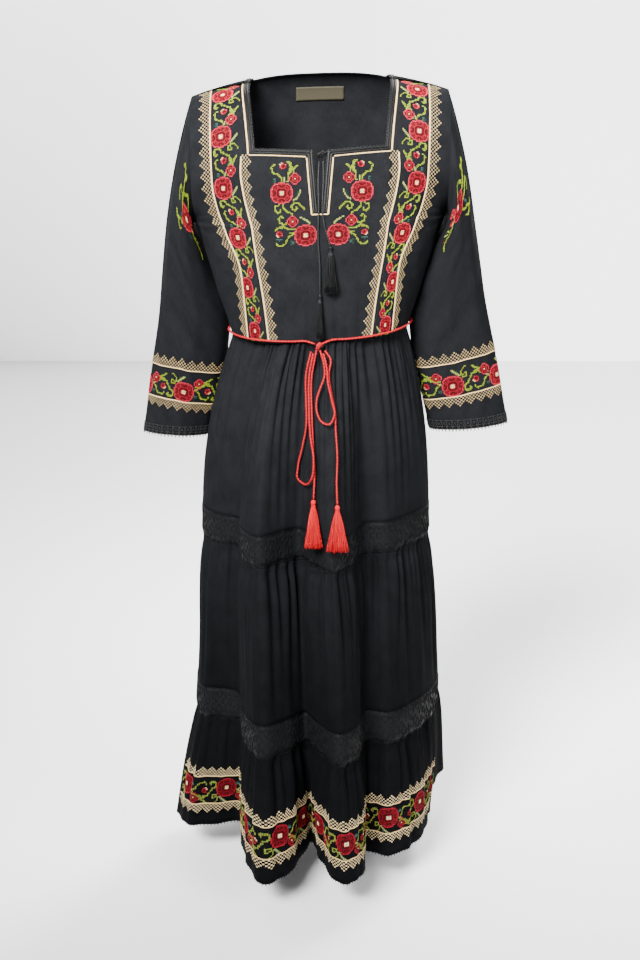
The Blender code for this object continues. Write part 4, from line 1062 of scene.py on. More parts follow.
def ball(middle, radii, rings=8, around=12):
    """A small round head as points and faces."""
    polar = math.pi * np.arange(1, rings) / rings
    turn = 2 * math.pi * np.arange(around) / around
    shell = np.stack(
        [
            np.sin(polar)[:, None] * np.cos(turn),
            np.sin(polar)[:, None] * np.sin(turn),
            np.repeat(np.cos(polar)[:, None], around, axis=1),
        ],
        axis=-1,
    ).reshape(-1, 3)
    points = np.concatenate([[(0, 0, 1.0)], shell, [(0, 0, -1.0)]]) * radii + middle
    faces = []
    last = len(points) - 1
    for step in range(around):
        after = (step + 1) % around
        faces.append([0, 1 + step, 1 + after])
        for ring in range(rings - 2):
            top = 1 + ring * around
            faces.append([top + step, top + around + step, top + around + after, top + after])
        base = 1 + (rings - 2) * around
        faces.append([last, base + after, base + step])
    return points, faces

# %% Tassels
TASSELS = {
    "belt_tassel_right": (-0.0102, -0.6240, 0.0046, 0.0042, 0.064, 0.0150),
    "belt_tassel_left": (0.0267, -0.6270, 0.0046, 0.0042, 0.064, 0.0185),
    "neck_tassel_right": (0.0000, -0.3057, 0.0034, 0.0030, 0.062, 0.0055),
    "neck_tassel_left": (0.0160, -0.2362, 0.0034, 0.0030, 0.066, 0.0110),
}
TASSEL_STRANDS = 84
TASSEL_DEPTH = 0.35
TASSEL_CLEAR = 0.0016
STRAND_RADIUS = 0.00052
BINDING_RADIUS = 0.00045
BINDING_TURNS = 4
GOLDEN_TURN = 2.39996


def make_tassel(name, x, z, off, head, length, spread_to, finish, slot, seed):
    """A tassel that stands for its solid."""
    chance = np.random.default_rng(seed)
    y = cloth_front(x, z) - off
    depth = TASSEL_DEPTH * spread_to
    y_low = y
    for share in (0.4, 0.7, 1.0):
        for side in (-1.0, 0.0, 1.0):
            front = cloth_front(x + side * share * spread_to, z - share * length)
            y_low = min(y_low, y + (front - depth - TASSEL_CLEAR - y) / share)
    parts = [ball(np.array([x, y, z]), np.array([head, head, head * 1.15]))]
    neck_z = z - head * 1.1
    share = np.linspace(0, 1, 8)[:, None]
    ease = share ** 0.8
    width = STRAND_RADIUS * (1.15 - 0.25 * share[:, 0])
    for strand in range(TASSEL_STRANDS):
        turn = GOLDEN_TURN * strand
        reach = math.sqrt((strand + 0.5) / TASSEL_STRANDS)
        inner = 0.62 * head * reach
        root = np.array([x + inner * math.cos(turn), y + inner * math.sin(turn), neck_z])
        low_x = x + spread_to * (0.97 * reach * math.cos(turn) + 0.03 * chance.normal())
        low_z = z - length * chance.uniform(0.92, 1.0)
        low = np.array([low_x, y_low + depth * reach * math.sin(turn), low_z])
        line = root * (1 - share) + low * share
        line[:, 0] += (low_x - root[0]) * (ease - share)[:, 0] * 1.2
        line[:, 0] += 0.0006 * np.sin(share[:, 0] * 9 + strand) * share[:, 0]
        parts.append(tube(line, *frames_along(line), width, width, 3))
    bound = np.linspace(0, 2 * math.pi * BINDING_TURNS, 60)
    ring = head * 0.78
    binding_z = neck_z + 0.0012 - 0.0028 * bound / bound[-1]
    binding = np.column_stack([x + ring * np.cos(bound), y + ring * np.sin(bound), binding_z])
    frames = frames_along(binding, (0.0, 0.0, 1.0))
    parts.append(tube(binding, *frames, BINDING_RADIUS, BINDING_RADIUS, 6))
    points, faces = gather_parts(parts)
    new_piece(f"{name}_yarn", (hang(points), faces), finish, slot, name)


for seed, (name, numbers) in enumerate(TASSELS.items()):
    kind = (tassel_yarn, "belt_yarn") if name.startswith("belt") else (black_yarn, "tie_yarn")
    make_tassel(name, *numbers, *kind, seed)

# %% [markdown]
# ### The cords' far ends
# A cord is limp, and a picture can't tell where it leaves the dress, its own length and thickness, its line
# as it hangs, or what its far end does. Each cord's far end is listed here, and its thickness worked out, but
# neither is kept.

# %% The cords' far ends
for name, far_end in {
    "belt_cord": "object",
    "belt_loop_right": "object",
    "belt_loop_left": "object",
    "belt_end_right": "knot",
    "belt_end_left": "knot",
    "neck_tie_end_right": "knot",
    "neck_tie_end_left": "knot",
}.items():
    piece, line, length = cords[name]
    2 * (BELT_RADIUS if name.startswith("belt") else TIE_RADIUS)

# %% [markdown]
# ## Cloth
# Each panel starts as a flat grid, as cloth starts flat. Its points are laid on the dress by the surface
# functions, a Solidify modifier gives the cloth its thickness, and a UV map in metres is kept for the
# weave.

# %% Edit mode and the weave's own measure


def in_edit_mode(mode, *steps):
    """Runs edit-mode steps on the active piece, with faces selected or not."""
    bpy.ops.object.mode_set(mode="EDIT")
    bpy.ops.mesh.select_mode(type="FACE")
    bpy.ops.mesh.select_all(action=mode)
    for step, settings in steps:
        step(**settings)
    bpy.ops.object.mode_set(mode="OBJECT")


def across_and_down(laid):
    """How far along the cloth each point of a laid grid is from its left and its upper edge."""
    over = np.zeros(laid.shape[:2])
    over[:, 1:] = np.cumsum(np.linalg.norm(np.diff(laid, axis=1), axis=2), axis=1)
    fall = np.zeros(laid.shape[:2])
    fall[1:] = np.cumsum(np.linalg.norm(np.diff(laid, axis=0), axis=2), axis=0)
    return over, fall

# %% Laying a grid


def lay_cloth(
    name, columns, rows, place, node, finish=cotton, slot="cotton", closed=False, drop=None, wall=WALL
):
    """A grid laid on the dress: place(across, down) gives its points, drop(across, down) its openings."""
    deselect()
    bpy.ops.mesh.primitive_grid_add(x_subdivisions=columns, y_subdivisions=rows, size=2)
    piece = bpy.context.object
    piece.name = name
    mesh = piece.data
    mesh.name = name
    flat = np.empty(len(mesh.vertices) * 3)
    mesh.vertices.foreach_get("co", flat)
    flat = flat.reshape(-1, 3)
    across = np.rint((flat[:, 0] + 1) / 2 * columns).astype(int)
    down = np.rint((1 - flat[:, 1]) / 2 * rows).astype(int)
    laid = hang(place(*np.meshgrid(np.arange(columns + 1), np.arange(rows + 1))))
    mesh.vertices.foreach_set("co", laid[down, across].ravel())
    over, fall = across_and_down(laid)
    corner = np.empty(len(mesh.loops), dtype=int)
    mesh.loops.foreach_get("vertex_index", corner)
    uv = np.column_stack([over[down, across][corner], -fall[down, across][corner]])
    mesh.uv_layers[0].name = "cloth"
    mesh.uv_layers[0].data.foreach_set("uv", uv.ravel())
    if drop is not None:
        in_edit_mode("DESELECT")
        for face in mesh.polygons:
            corners = list(face.vertices)
            face.select = bool(drop(across[corners].mean(), down[corners].mean()))
        bpy.ops.object.mode_set(mode="EDIT")
        bpy.ops.mesh.delete(type="FACE")
        bpy.ops.object.mode_set(mode="OBJECT")
    if closed:
        in_edit_mode("SELECT", (bpy.ops.mesh.remove_doubles, {"threshold": 1e-6}))
    bpy.ops.object.modifier_add(type="SOLIDIFY")
    piece.modifiers[-1].thickness = wall
    piece.modifiers[-1].offset = 0.0
    bpy.ops.object.modifier_apply(modifier=piece.modifiers[-1].name)
    piece.data.shade_smooth()
    piece.data.materials.clear()
    piece.data.materials.append(finish)
    join_dress(piece, [node])
    width = float(over[:, -1].max())
    length = float(fall[-1].max())
    print(name, len(piece.data.polygons), "faces,", round(width, 3), "m wide,", round(length, 3), "m long")
    return piece, width, length

# %% Stating a cut


def cut(piece_and_size):
    """Prints a piece of cloth's flat size and how much of it the laid cloth covers; its flat area, where the
    cut is narrower at one end, is worked out but not kept.
    """
    piece, width, length = piece_and_size
    laid_area = sum(polygon.area for polygon in piece.data.polygons) / 2
    share = min(max(laid_area / (width * length), 0.32), 1.0)
    area = None if share > 0.96 else share * width * length
    print(piece.name, "is cut", round(width, 3), "x", round(length, 3), "m, share", round(share, 2))

# %% [markdown]
# ### Bodice panels
# The front is cut in five: the middle with its slit, two bands and two side fronts. The back is one
# piece. The grid's faces inside the slit and the back neck are deleted, because an opening is a hole in
# the cloth.

# %% The middle front
SLIT_COLUMN = 20
SLIT_ROWS = 24
CENTRE_ROWS = 64


def place_centre(across, down):
    """The middle front: two halves beside the slit, one cloth below it."""
    share = (np.abs(across - (SLIT_COLUMN + 0.5)) - 0.5) / SLIT_COLUMN
    sign = np.where(across <= SLIT_COLUMN, -1.0, 1.0)
    upper = down / SLIT_ROWS
    lower = (down - SLIT_ROWS) / (CENTRE_ROWS - SLIT_ROWS)
    below = SLIT_BOTTOM_Z + (WAIST_Z - SLIT_BOTTOM_Z) * lower
    z = np.where(down < SLIT_ROWS, NECKLINE_Z + (SLIT_BOTTOM_Z - NECKLINE_Z) * upper, below)
    half = slit_half(z)
    x = half + (band_edge("inner", z) - half) * share
    z = z + (neckline_z(x) - NECKLINE_Z) * np.clip(1 - upper, 0, 1)
    return front_at(sign * x, z)

# %% Bands and side fronts


def band_x(row, share):
    """The distance from the middle, across a band, at rows of the bodice."""
    x = np.full(row.shape, 0.14)
    for _ in range(14):
        z = at_x(bodice, "front", x, row)[..., 2]
        inner = band_edge("inner", z)
        x = inner + (band_edge("outer", z) - inner) * share
    return x


def place_band(sign, columns, rows):
    """The embroidered band from the shoulder to the waist."""

    def place(across, down):
        row = 2.0 * down / rows
        return at_x(cloth_bodice, "front", sign * band_x(row, across / columns), row)

    return place


def place_side(sign, columns, rows):
    """The side front, from the band to the armhole and side seam."""

    def place(across, down):
        row = 2.0 * down / rows
        start = turn_at("front", band_x(row, 1.0), row)
        turn = start + (math.pi / 2 - start) * np.sin(math.pi / 2 * across / columns)
        return cloth_bodice("front", sign * turn, row)

    return place

# %% The back
BACK_NECK_COLUMNS = 26
BACK_SIDE_COLUMNS = 18
BACK_NECK_ROWS = 12
BACK_ROWS = 96


def back_neck_half(row):
    """Half the width of the back neck opening at a row."""
    share = np.clip(row / BACK_NECK_ROW, 0, 1)
    return SHOULDER_NECK_HALF + (BACK_NECK_HALF - SHOULDER_NECK_HALF) * share


def place_back(across, down):
    """The back in one piece, with its neck opening."""
    upper = BACK_NECK_ROW * down / BACK_NECK_ROWS
    lower = BACK_NECK_ROW + (2 - BACK_NECK_ROW) * (down - BACK_NECK_ROWS) / (BACK_ROWS - BACK_NECK_ROWS)
    row = np.where(down < BACK_NECK_ROWS, upper, lower)
    start = turn_at("back", back_neck_half(row), row)
    offset = across - (BACK_SIDE_COLUMNS + BACK_NECK_COLUMNS / 2)
    inner = start * offset / (BACK_NECK_COLUMNS / 2)
    reach = (np.abs(offset) - BACK_NECK_COLUMNS / 2) / BACK_SIDE_COLUMNS
    outer = np.sign(offset) * (start + (math.pi / 2 - start) * np.sin(math.pi / 2 * np.clip(reach, 0, 1)))
    return cloth_bodice("back", np.where(reach <= 0, inner, outer), row)


def in_back_neck(across, down):
    """Faces of the back's grid that the neck opening takes away."""
    return BACK_SIDE_COLUMNS < across < BACK_SIDE_COLUMNS + BACK_NECK_COLUMNS and down < BACK_NECK_ROWS

# %% Laying the bodice
BAND_GRID = (10, 110)
SIDE_GRID = (24, 100)
BACK_COLUMNS = 2 * BACK_SIDE_COLUMNS + BACK_NECK_COLUMNS
SIGNS = {"left": 1.0, "right": -1.0}


def in_slit(across, down):
    """Faces of the middle front's grid that the slit takes away."""
    return SLIT_COLUMN < across < SLIT_COLUMN + 1 and down < SLIT_ROWS


front_centre = lay_cloth(
    "front_centre_cotton", 2 * SLIT_COLUMN + 1, CENTRE_ROWS, place_centre, "bodice_front_centre", drop=in_slit
)
bands = {}
sides = {}
for name, sign in SIGNS.items():
    place = place_band(sign, *BAND_GRID)
    bands[name] = lay_cloth(f"band_{name}_cotton", *BAND_GRID, place, f"bodice_band_{name}")
    place = place_side(sign, *SIDE_GRID)
    sides[name] = lay_cloth(f"side_front_{name}_cotton", *SIDE_GRID, place, f"bodice_side_{name}")
back = lay_cloth("back_cotton", BACK_COLUMNS, BACK_ROWS, place_back, "bodice_back", drop=in_back_neck)

# %% [markdown]
# ### Sleeves
# A sleeve is a grid whose left and right edges meet under the arm, where their doubles are merged into a
# seam.

# %% Sleeves
SLEEVE_ROUND = 80
SLEEVE_DOWN = 110


def place_sleeve(side):
    """A sleeve from its armhole to its cuff."""

    def place(across, down):
        return sleeve(side, 2 * math.pi * across / SLEEVE_ROUND, 10 * down / SLEEVE_DOWN)

    return place


sleeves = {}
for name in SIGNS:
    sleeves[name] = lay_cloth(
        f"sleeve_{name}_cotton", SLEEVE_ROUND, SLEEVE_DOWN, place_sleeve(name), f"sleeve_{name}", closed=True
    )

# %% [markdown]
# ### Tiers and lace
# Three tiers are gathered onto the waist and onto two bands of lace. Each is laid in a front and a back
# half, with a fine grid in front, where the gathers are seen.

# %% Skirt tiers and lace grounds
TIERS = {
    "upper": (WAIST_Z, LACE_1[0], 44),
    "middle": (LACE_1[1], LACE_2[0], 34),
    "lower": (LACE_2[1], HEM_Z, 26),
}
LACES = {"upper": (*LACE_1, 6), "lower": (*LACE_2, 6)}
LACE_WALL = 0.0010
CROWDING = 1.25
HALVES = {"front": (0, FRONT_SPAN, 252), "back": (FRONT_SPAN, len(FOLDS), 126)}


def place_tier(top, bottom, rows, start, stop, columns):
    """Half a tier between two level seams. Rows are closer together near the gathered seam."""
    lines = even_lines(start, stop, columns)

    def place(across, down):
        share = (down / rows) ** CROWDING
        return skirt(lines[across], top + (bottom - top) * share)

    return place


def lay_ring(name, node, top, bottom, rows, half, *finish, **settings):
    """The front or back half of a tier or a lace band."""
    start, stop, columns = HALVES[half]
    place = place_tier(top, bottom, rows, start, stop, columns)
    return lay_cloth(name, columns, rows, place, node, *finish, **settings)


tiers = {}
for tier, levels in TIERS.items():
    for half in HALVES:
        tiers[tier, half] = lay_ring(f"tier_{tier}_{half}_cotton", f"skirt_{tier}_{half}", *levels, half)
laces = {}
for lace, levels in LACES.items():
    for half in HALVES:
        name = f"lace_{lace}_{half}"
        laces[lace, half] = lay_ring(f"{name}_ground", name, *levels, half, lace_yarn, "lace", wall=LACE_WALL)

# %% [markdown]
# ## Embroidery
# The flowers are cross stitch: thread crosses the cloth from corner to corner of a 2 mm square, twice.
# One stitch is modelled from two three-sided bars, and then laid at each filled square of a chart. The
# chart is a small repeat: a rose, a small flower, a bud and curling stems. The same repeat runs down the
# bands, and lies on its side on the cuffs and the hem.

# %% One stitch
THREADS = {
    "c": (0.230, 0.0040, 0.0130),
    "l": (0.420, 0.0200, 0.0400),
    "d": (0.050, 0.0004, 0.0020),
    "w": (0.700, 0.520, 0.240),
    "n": (0.380, 0.285, 0.140),
    "g": (0.190, 0.250, 0.010),
    "p": (0.260, 0.300, 0.070),
    "t": (0.0040, 0.0200, 0.0150),
    "e": (0.020, 0.060, 0.048),
}
# Thread colours for the hem with light painted in: the reds darker as painted shade, the cream and blue-green
# threads lighter to make up for the dimmer light there.
HEM_THREADS_WITH_PAINTED_LIGHT = {
    "c": (0.170, 0.0012, 0.0080),
    "l": (0.290, 0.0080, 0.0220),
    "d": (0.034, 0.0002, 0.0010),
    "w": (0.850, 0.680, 0.380),
    "n": (0.700, 0.560, 0.320),
    "g": (0.170, 0.210, 0.030),
    "p": (0.240, 0.280, 0.100),
    "t": (0.007, 0.036, 0.027),
    "e": (0.030, 0.090, 0.075),
}
STITCH = 0.0020


def model_stitch(thick, long):
    """One cross stitch in a unit square: two three-sided bars, the second over the first."""
    parts = []
    for lift, turn in ((0.0, 45.0), (0.10, -45.0)):
        deselect()
        bpy.ops.mesh.primitive_cylinder_add(
            vertices=3, radius=thick, depth=long, end_fill_type="NGON", rotation=(0, math.radians(90), 0)
        )
        bar = bpy.context.object
        bpy.ops.object.transform_apply(location=False, rotation=True, scale=False)
        points = np.array([vertex.co for vertex in bar.data.vertices])
        low = points[:, 2].min()
        points[:, 2] = (points[:, 2] - low) * 0.62
        ends = np.abs(points[:, 0]) > long * 0.4
        points[ends & (points[:, 2] > 0.1), 0] *= 0.78
        cosine = math.cos(math.radians(turn))
        sine = math.sin(math.radians(turn))
        x, y, z = points.T
        turned = np.column_stack([x * cosine - y * sine, x * sine + y * cosine, z])
        turned[:, :2] += 0.5
        turned[:, 2] += lift * (1 - np.abs(x) / 0.7)
        parts.append((turned, [list(face.vertices) for face in bar.data.polygons]))
        bpy.data.objects.remove(bar)
    return gather_parts(parts)


stitch = model_stitch(0.24, 1.24)
net_stitch = model_stitch(0.17, 1.06)
print("one stitch has", len(stitch[1]), "faces")

# %% [markdown]
# ### Charts
# Cross stitch is worked from squared paper, and a chart here is the same: a letter, which names a
# thread, for each filled square. Roses and small flowers are symmetrical, so a quarter is enough. A stem
# goes from stop to stop, and its letter is doubled where it is two stitches wide.

# %% Flowers and stems
ROSE_QUARTER = (
    "wwcdcdccl",
    "wwcdcddcl",
    "ccddccdcl",
    "dddccccll",
    "ccccdcdl.",
    "ddcccdcl.",
    "cddcdcl..",
    "ccclll...",
    "lll......",
)
FLOWER_QUARTER = ("wdcdl", "dccdl", "cccl.", "ddl..", "ll...")
BUD = (".wl..", "wlccl", "lcddc", "lcdcc", ".lcc.")
REPEAT = 38


def stamp_quarter(chart, quarter, at):
    """Puts a flower that is drawn as one quarter into a chart, mirrored about its centre stitch."""
    for down, row in enumerate(quarter):
        for across, letter in enumerate(row):
            if letter != ".":
                for side in (-1, 1):
                    for up in (-1, 1):
                        chart[round(at[0]) + side * across, round(at[1]) + up * down] = letter


def stamp(chart, rows, at, flip_x=False, flip_y=False):
    """Puts a small drawing into a chart, centred on a stitch."""
    height = len(rows)
    width = len(rows[0])
    for down, row in enumerate(rows):
        for across, letter in enumerate(row):
            if letter != ".":
                x = width - 1 - across if flip_x else across
                y = height - 1 - down if flip_y else down
                chart[round(at[0]) + x - width // 2, round(at[1]) + y - height // 2] = letter


def stem(chart, letters, *stops):
    """A stepped stem through stops, as many stitches wide as it has letters."""
    stops = np.array(stops, dtype=float)
    run = run_of(stops)
    at = np.linspace(0, run[-1], int(run[-1] * 3) + 2)
    for x, y in zip(np.interp(at, run, stops[:, 0]), np.interp(at, run, stops[:, 1])):
        for wide, letter in enumerate(letters):
            chart.setdefault((round(x) + wide, round(y)), letter)

# %% The repeat
REPEAT_STEMS = (
    ("p", (13.4, -0.5), (11.5, 2), (9.5, 4), (7.5, 5.5)),
    ("g", (-2.5, 8.6), (-5.3, 9.2), (-6.2, 11.5), (-5, 13.8), (-2.6, 13.2)),
    ("g", (-5.4, 11.2), (-4.4, 13.0)),
    ("g", (6.0, 7.8), (5.8, 9.8), (7.0, 11.4), (8.8, 10.8), (8.4, 9.0)),
    ("g", (6.4, 8.2), (9, 6.9), (11.5, 7.5), (13.0, 9.0), (14.3, 10.8)),
    ("g", (-1.2, 8.6), (0.4, 11.6), (3.8, 13.6), (6.5, 15.4), (8.6, 18.0)),
    ("gg", (7.4, 17.4), (7.6, 20.6), (6.0, 22.8)),
    ("g", (6.0, 22.8), (5.2, 25.6), (5.0, 29.4)),
    ("g", (13.4, 15.6), (11.2, 18.0), (10.2, 21.6)),
    ("g", (8.6, 19.6), (10.2, 20.6)),
    ("g", (-3.4, 16.6), (-5.6, 18.4), (-5.0, 22.0), (-3.7, 24.2), (-0.6, 25.0), (1.4, 27.2), (1.8, 29.4)),
    ("p", (3.2, 26.6), (3.2, 29.4)),
    ("e", (-4.4, 26.6), (-2.6, 27.8), (-3.8, 29.0)),
    ("tt", (-5.2, 28.2), (-3.6, 30.2)),
    ("t", (11.4, 4.4), (12.8, 2.2)),
)


def make_repeat():
    """The repeat of the bands: x towards the middle of the dress, y down, the rose at the origin."""
    chart = {}
    stamp_quarter(chart, ROSE_QUARTER, (0, 0))
    stamp_quarter(chart, FLOWER_QUARTER, (8, -12))
    stamp(chart, BUD, (2.5, 18))
    for one in REPEAT_STEMS:
        stem(chart, *one)
    return chart


def border(roses, turn_cell, inside):
    """The repeat's stitches at several roses, turned as turn_cell says and kept where inside says."""
    cells = {}
    for rose in roses:
        for (x, y), letter in REPEAT_CHART.items():
            cell = turn_cell(x, y, rose * REPEAT)
            if inside(*cell):
                cells[cell] = letter
    return cells


REPEAT_CHART = make_repeat()
print("stitches in one repeat", len(REPEAT_CHART))

# %% The lattice
NET_PERIOD = 6
NET_SCALE = 8 / NET_PERIOD


def lattice(length, period=NET_PERIOD, low=3, high=6):
    """The diagonal lattice along a line: a chequer of stitches whose outer edge is a row of points."""
    cells = []
    for along in range(length):
        part = abs((along % period) - period / 2) / (period / 2)
        reach = low + (high - low) * (1 - part)
        for out in range(high + 1):
            if out <= reach and (along + out) % 2 == 0:
                cells.append((along, out))
    return cells

# %% [markdown]
# ### Laying stitches
# Each stitch is bent into its own small square of cloth, so it follows the folds. Real stitches are
# never quite alike, so their colours vary a little.

# %% Laying stitches


def lay_stitches(place, chart, threads, centre, lift=0.0001, model=None):
    """A chart's stitches on the cloth: place(across, down) gives the cloth's middle in stitch counts."""
    unit_points, unit_faces = model or stitch
    cells = np.array(list(chart))
    low = cells.min(axis=0)
    high = cells.max(axis=0) + 1
    across, down = np.meshgrid(np.arange(low[0], high[0] + 1), np.arange(low[1], high[1] + 1))
    laid = hang(place(across.astype(float), down.astype(float)))
    i = cells[:, 1] - low[1]
    j = cells[:, 0] - low[0]
    corner = laid[i, j]
    over = laid[i, j + 1] - corner
    fall = laid[i + 1, j] - corner
    cross = laid[i + 1, j + 1] - corner - over - fall
    facing = unit(np.cross(over, fall))
    outward = corner - centre(corner)
    if np.sum(facing * outward) < 0:
        facing = -facing
        unit_faces = [face[::-1] for face in unit_faces]
    x, y, z = (unit_points[:, axis][None, :, None] for axis in range(3))
    points = (
        corner[:, None]
        + over[:, None] * x
        + fall[:, None] * y
        + cross[:, None] * (x * y)
        + facing[:, None] * (WALL / 2 + lift + z * STITCH)
    )
    count = len(unit_points)
    steps = np.arange(len(cells))[:, None] * count
    faces = [np.array(face)[None, :] + steps for face in unit_faces]
    colours = np.array([(*threads[letter], 1.0) for letter in chart.values()])
    shade = 0.70 + 0.45 * np.random.default_rng(len(cells)).random(len(cells))
    colours[:, :3] *= shade[:, None]
    return points.reshape(-1, 3), faces, np.repeat(colours, count, axis=0)


def lay_net(place, cells, threads, centre):
    """Lattice stitches, smaller and all in one thread."""
    return lay_stitches(place, dict.fromkeys(cells, "n"), threads, centre, model=net_stitch)


def stitch_piece(name, laid):
    """One joined piece of stitches, with the thread's colour stored on it."""
    faces = []
    start = 0
    for points, blocks, _ in laid:
        for block in blocks:
            faces += (block + start).tolist()
        start += len(points)
    shape = (np.concatenate([part[0] for part in laid]), faces)
    piece = new_piece(name, shape, thread, "cotton", smooth=False)
    stored = piece.data.color_attributes.new("thread", "FLOAT_COLOR", "POINT")
    stored.data.foreach_set("color", np.concatenate([part[2] for part in laid]).ravel())


def body_axis(points):
    """The dress's middle at each point's height."""
    return points * (0.0, 0.0, 1.0)

# %% [markdown]
# ### Bands
# Six roses run down each band. The table gives how far each lies from the shoulder seam along the cloth,
# how far from the middle of the dress, and how wide a stitch is there: the band narrows towards the
# waist and its flowers with it.

# %% Band embroidery
BAND_ROSES = {
    "run": (0.0333, 0.1082, 0.1857, 0.2656, 0.3410, 0.4074),
    "middle": (0.1490, 0.1505, 0.1470, 0.1255, 0.1112, 0.1005),
    "stitch": (0.00190, 0.00188, 0.00160, 0.00145, 0.00100, 0.00098),
}
SHOULDER_STITCH = 0.00197
WAIST_STITCH = 0.0018
LAST_ROSE = 190
BAND_STITCHES = (-16, 199)
LOWER_LINE = {
    "z": (-0.0975, -0.120, -0.150, -0.180, -0.210, -0.250, -0.290, -0.327, -0.3765),
    "x": (0.1185, 0.1195, 0.1160, 0.1095, 0.1025, 0.0965, 0.0895, 0.0840, 0.0785),
}
ROSE_STOPS = REPEAT * np.arange(6)
BAND_ROWS = np.linspace(0, 2, 801)


def run_table():
    """How far down the band, along the cloth, each row of the bodice lies."""
    x = np.interp(BAND_ROWS, (0, 0.66, 1.1, 1.53, 2), (0.149, 0.147, 0.1255, 0.1112, 0.100))
    return run_of(at_x(bodice, "front", x, BAND_ROWS))


BAND_RUN = run_table()


def place_band_motif(sign):
    """Stitch counts on a band: across is towards the middle of the dress, down from the first rose."""

    def place(across, down):
        run = smooth_read(ROSE_STOPS, BAND_ROSES["run"], down)
        run = run + np.where(down < 0, down * SHOULDER_STITCH, 0)
        run = run + np.where(down > LAST_ROSE, (down - LAST_ROSE) * WAIST_STITCH, 0)
        row = np.interp(run, BAND_RUN, BAND_ROWS)
        x = smooth_read(BAND_ROSES["run"], BAND_ROSES["middle"], run)
        x = x - across * smooth_read(BAND_ROSES["run"], BAND_ROSES["stitch"], run)
        return at_x(cloth_bodice, "front", sign * x, row)

    return place

# %% Band lattice
LATTICE_STEP = 0.00235 * NET_SCALE
INNER_STEP = 0.985
LATTICE_RUN = {"outer": 0.418, "inner": 0.276}
LATTICE_GAP = 0.0010
INNER_WIDE = {"drop": (0.10, 0.19, 0.38), "stitch": (0.0018, 0.0016, 0.0017)}
OUTER_WIDE = {"run": (0.0, 0.20, 0.27, 0.34, 0.43), "stitch": (0.0021, 0.0020, 0.0018, 0.0013, 0.0013)}


def place_band_lattice(sign, inner):
    """Lattice beside a band: across counts stitches along it, down counts away from its line."""

    def place(across, down):
        if inner:
            z = NECKLINE_Z - across * LATTICE_STEP * INNER_STEP
            wide = np.interp(-z, INNER_WIDE["drop"], INNER_WIDE["stitch"]) * NET_SCALE
            x = smooth_read(LOWER_LINE["z"], LOWER_LINE["x"], z) - down * wide - LATTICE_GAP
            return front_at(sign * x, z)
        run = np.clip(0.004 + across * LATTICE_STEP, 0, BAND_RUN[-1])
        row = np.interp(run, BAND_RUN, BAND_ROWS)
        wide = np.interp(run, OUTER_WIDE["run"], OUTER_WIDE["stitch"]) * NET_SCALE
        x = band_x(row, 1.0) + LATTICE_GAP + down * wide
        return at_x(cloth_bodice, "front", sign * x, row)

    return place


band_chart = border(
    range(-1, 6),
    lambda x, y, start: (x, y + start),
    lambda across, down: BAND_STITCHES[0] <= down <= BAND_STITCHES[1],
)
outer_cells = lattice(int(LATTICE_RUN["outer"] / LATTICE_STEP))
inner_cells = lattice(int(LATTICE_RUN["inner"] / LATTICE_STEP / INNER_STEP))
for name, sign in SIGNS.items():
    flowers = lay_stitches(place_band_motif(sign), band_chart, THREADS, body_axis)
    outer = lay_net(place_band_lattice(sign, False), outer_cells, THREADS, body_axis)
    inner = lay_net(place_band_lattice(sign, True), inner_cells, THREADS, body_axis)
    stitch_piece(f"band_{name}_stitches", [flowers, outer, inner])

# %% [markdown]
# ### Sprigs beside the slit
# A larger sprig with two roses lies on each side of the neck slit, the one the mirror image of the
# other. Stitches that would cross the slit are left out.

# %% Sprigs beside the slit
CENTRE_X = 0.0615
CENTRE_SHIFT = 0.0030
CENTRE_Z = -0.1525
CENTRE_ACROSS = 0.00199
CENTRE_DOWN = 0.00191
SLIT_CLEAR = 0.0125
BELOW_SLIT = 19


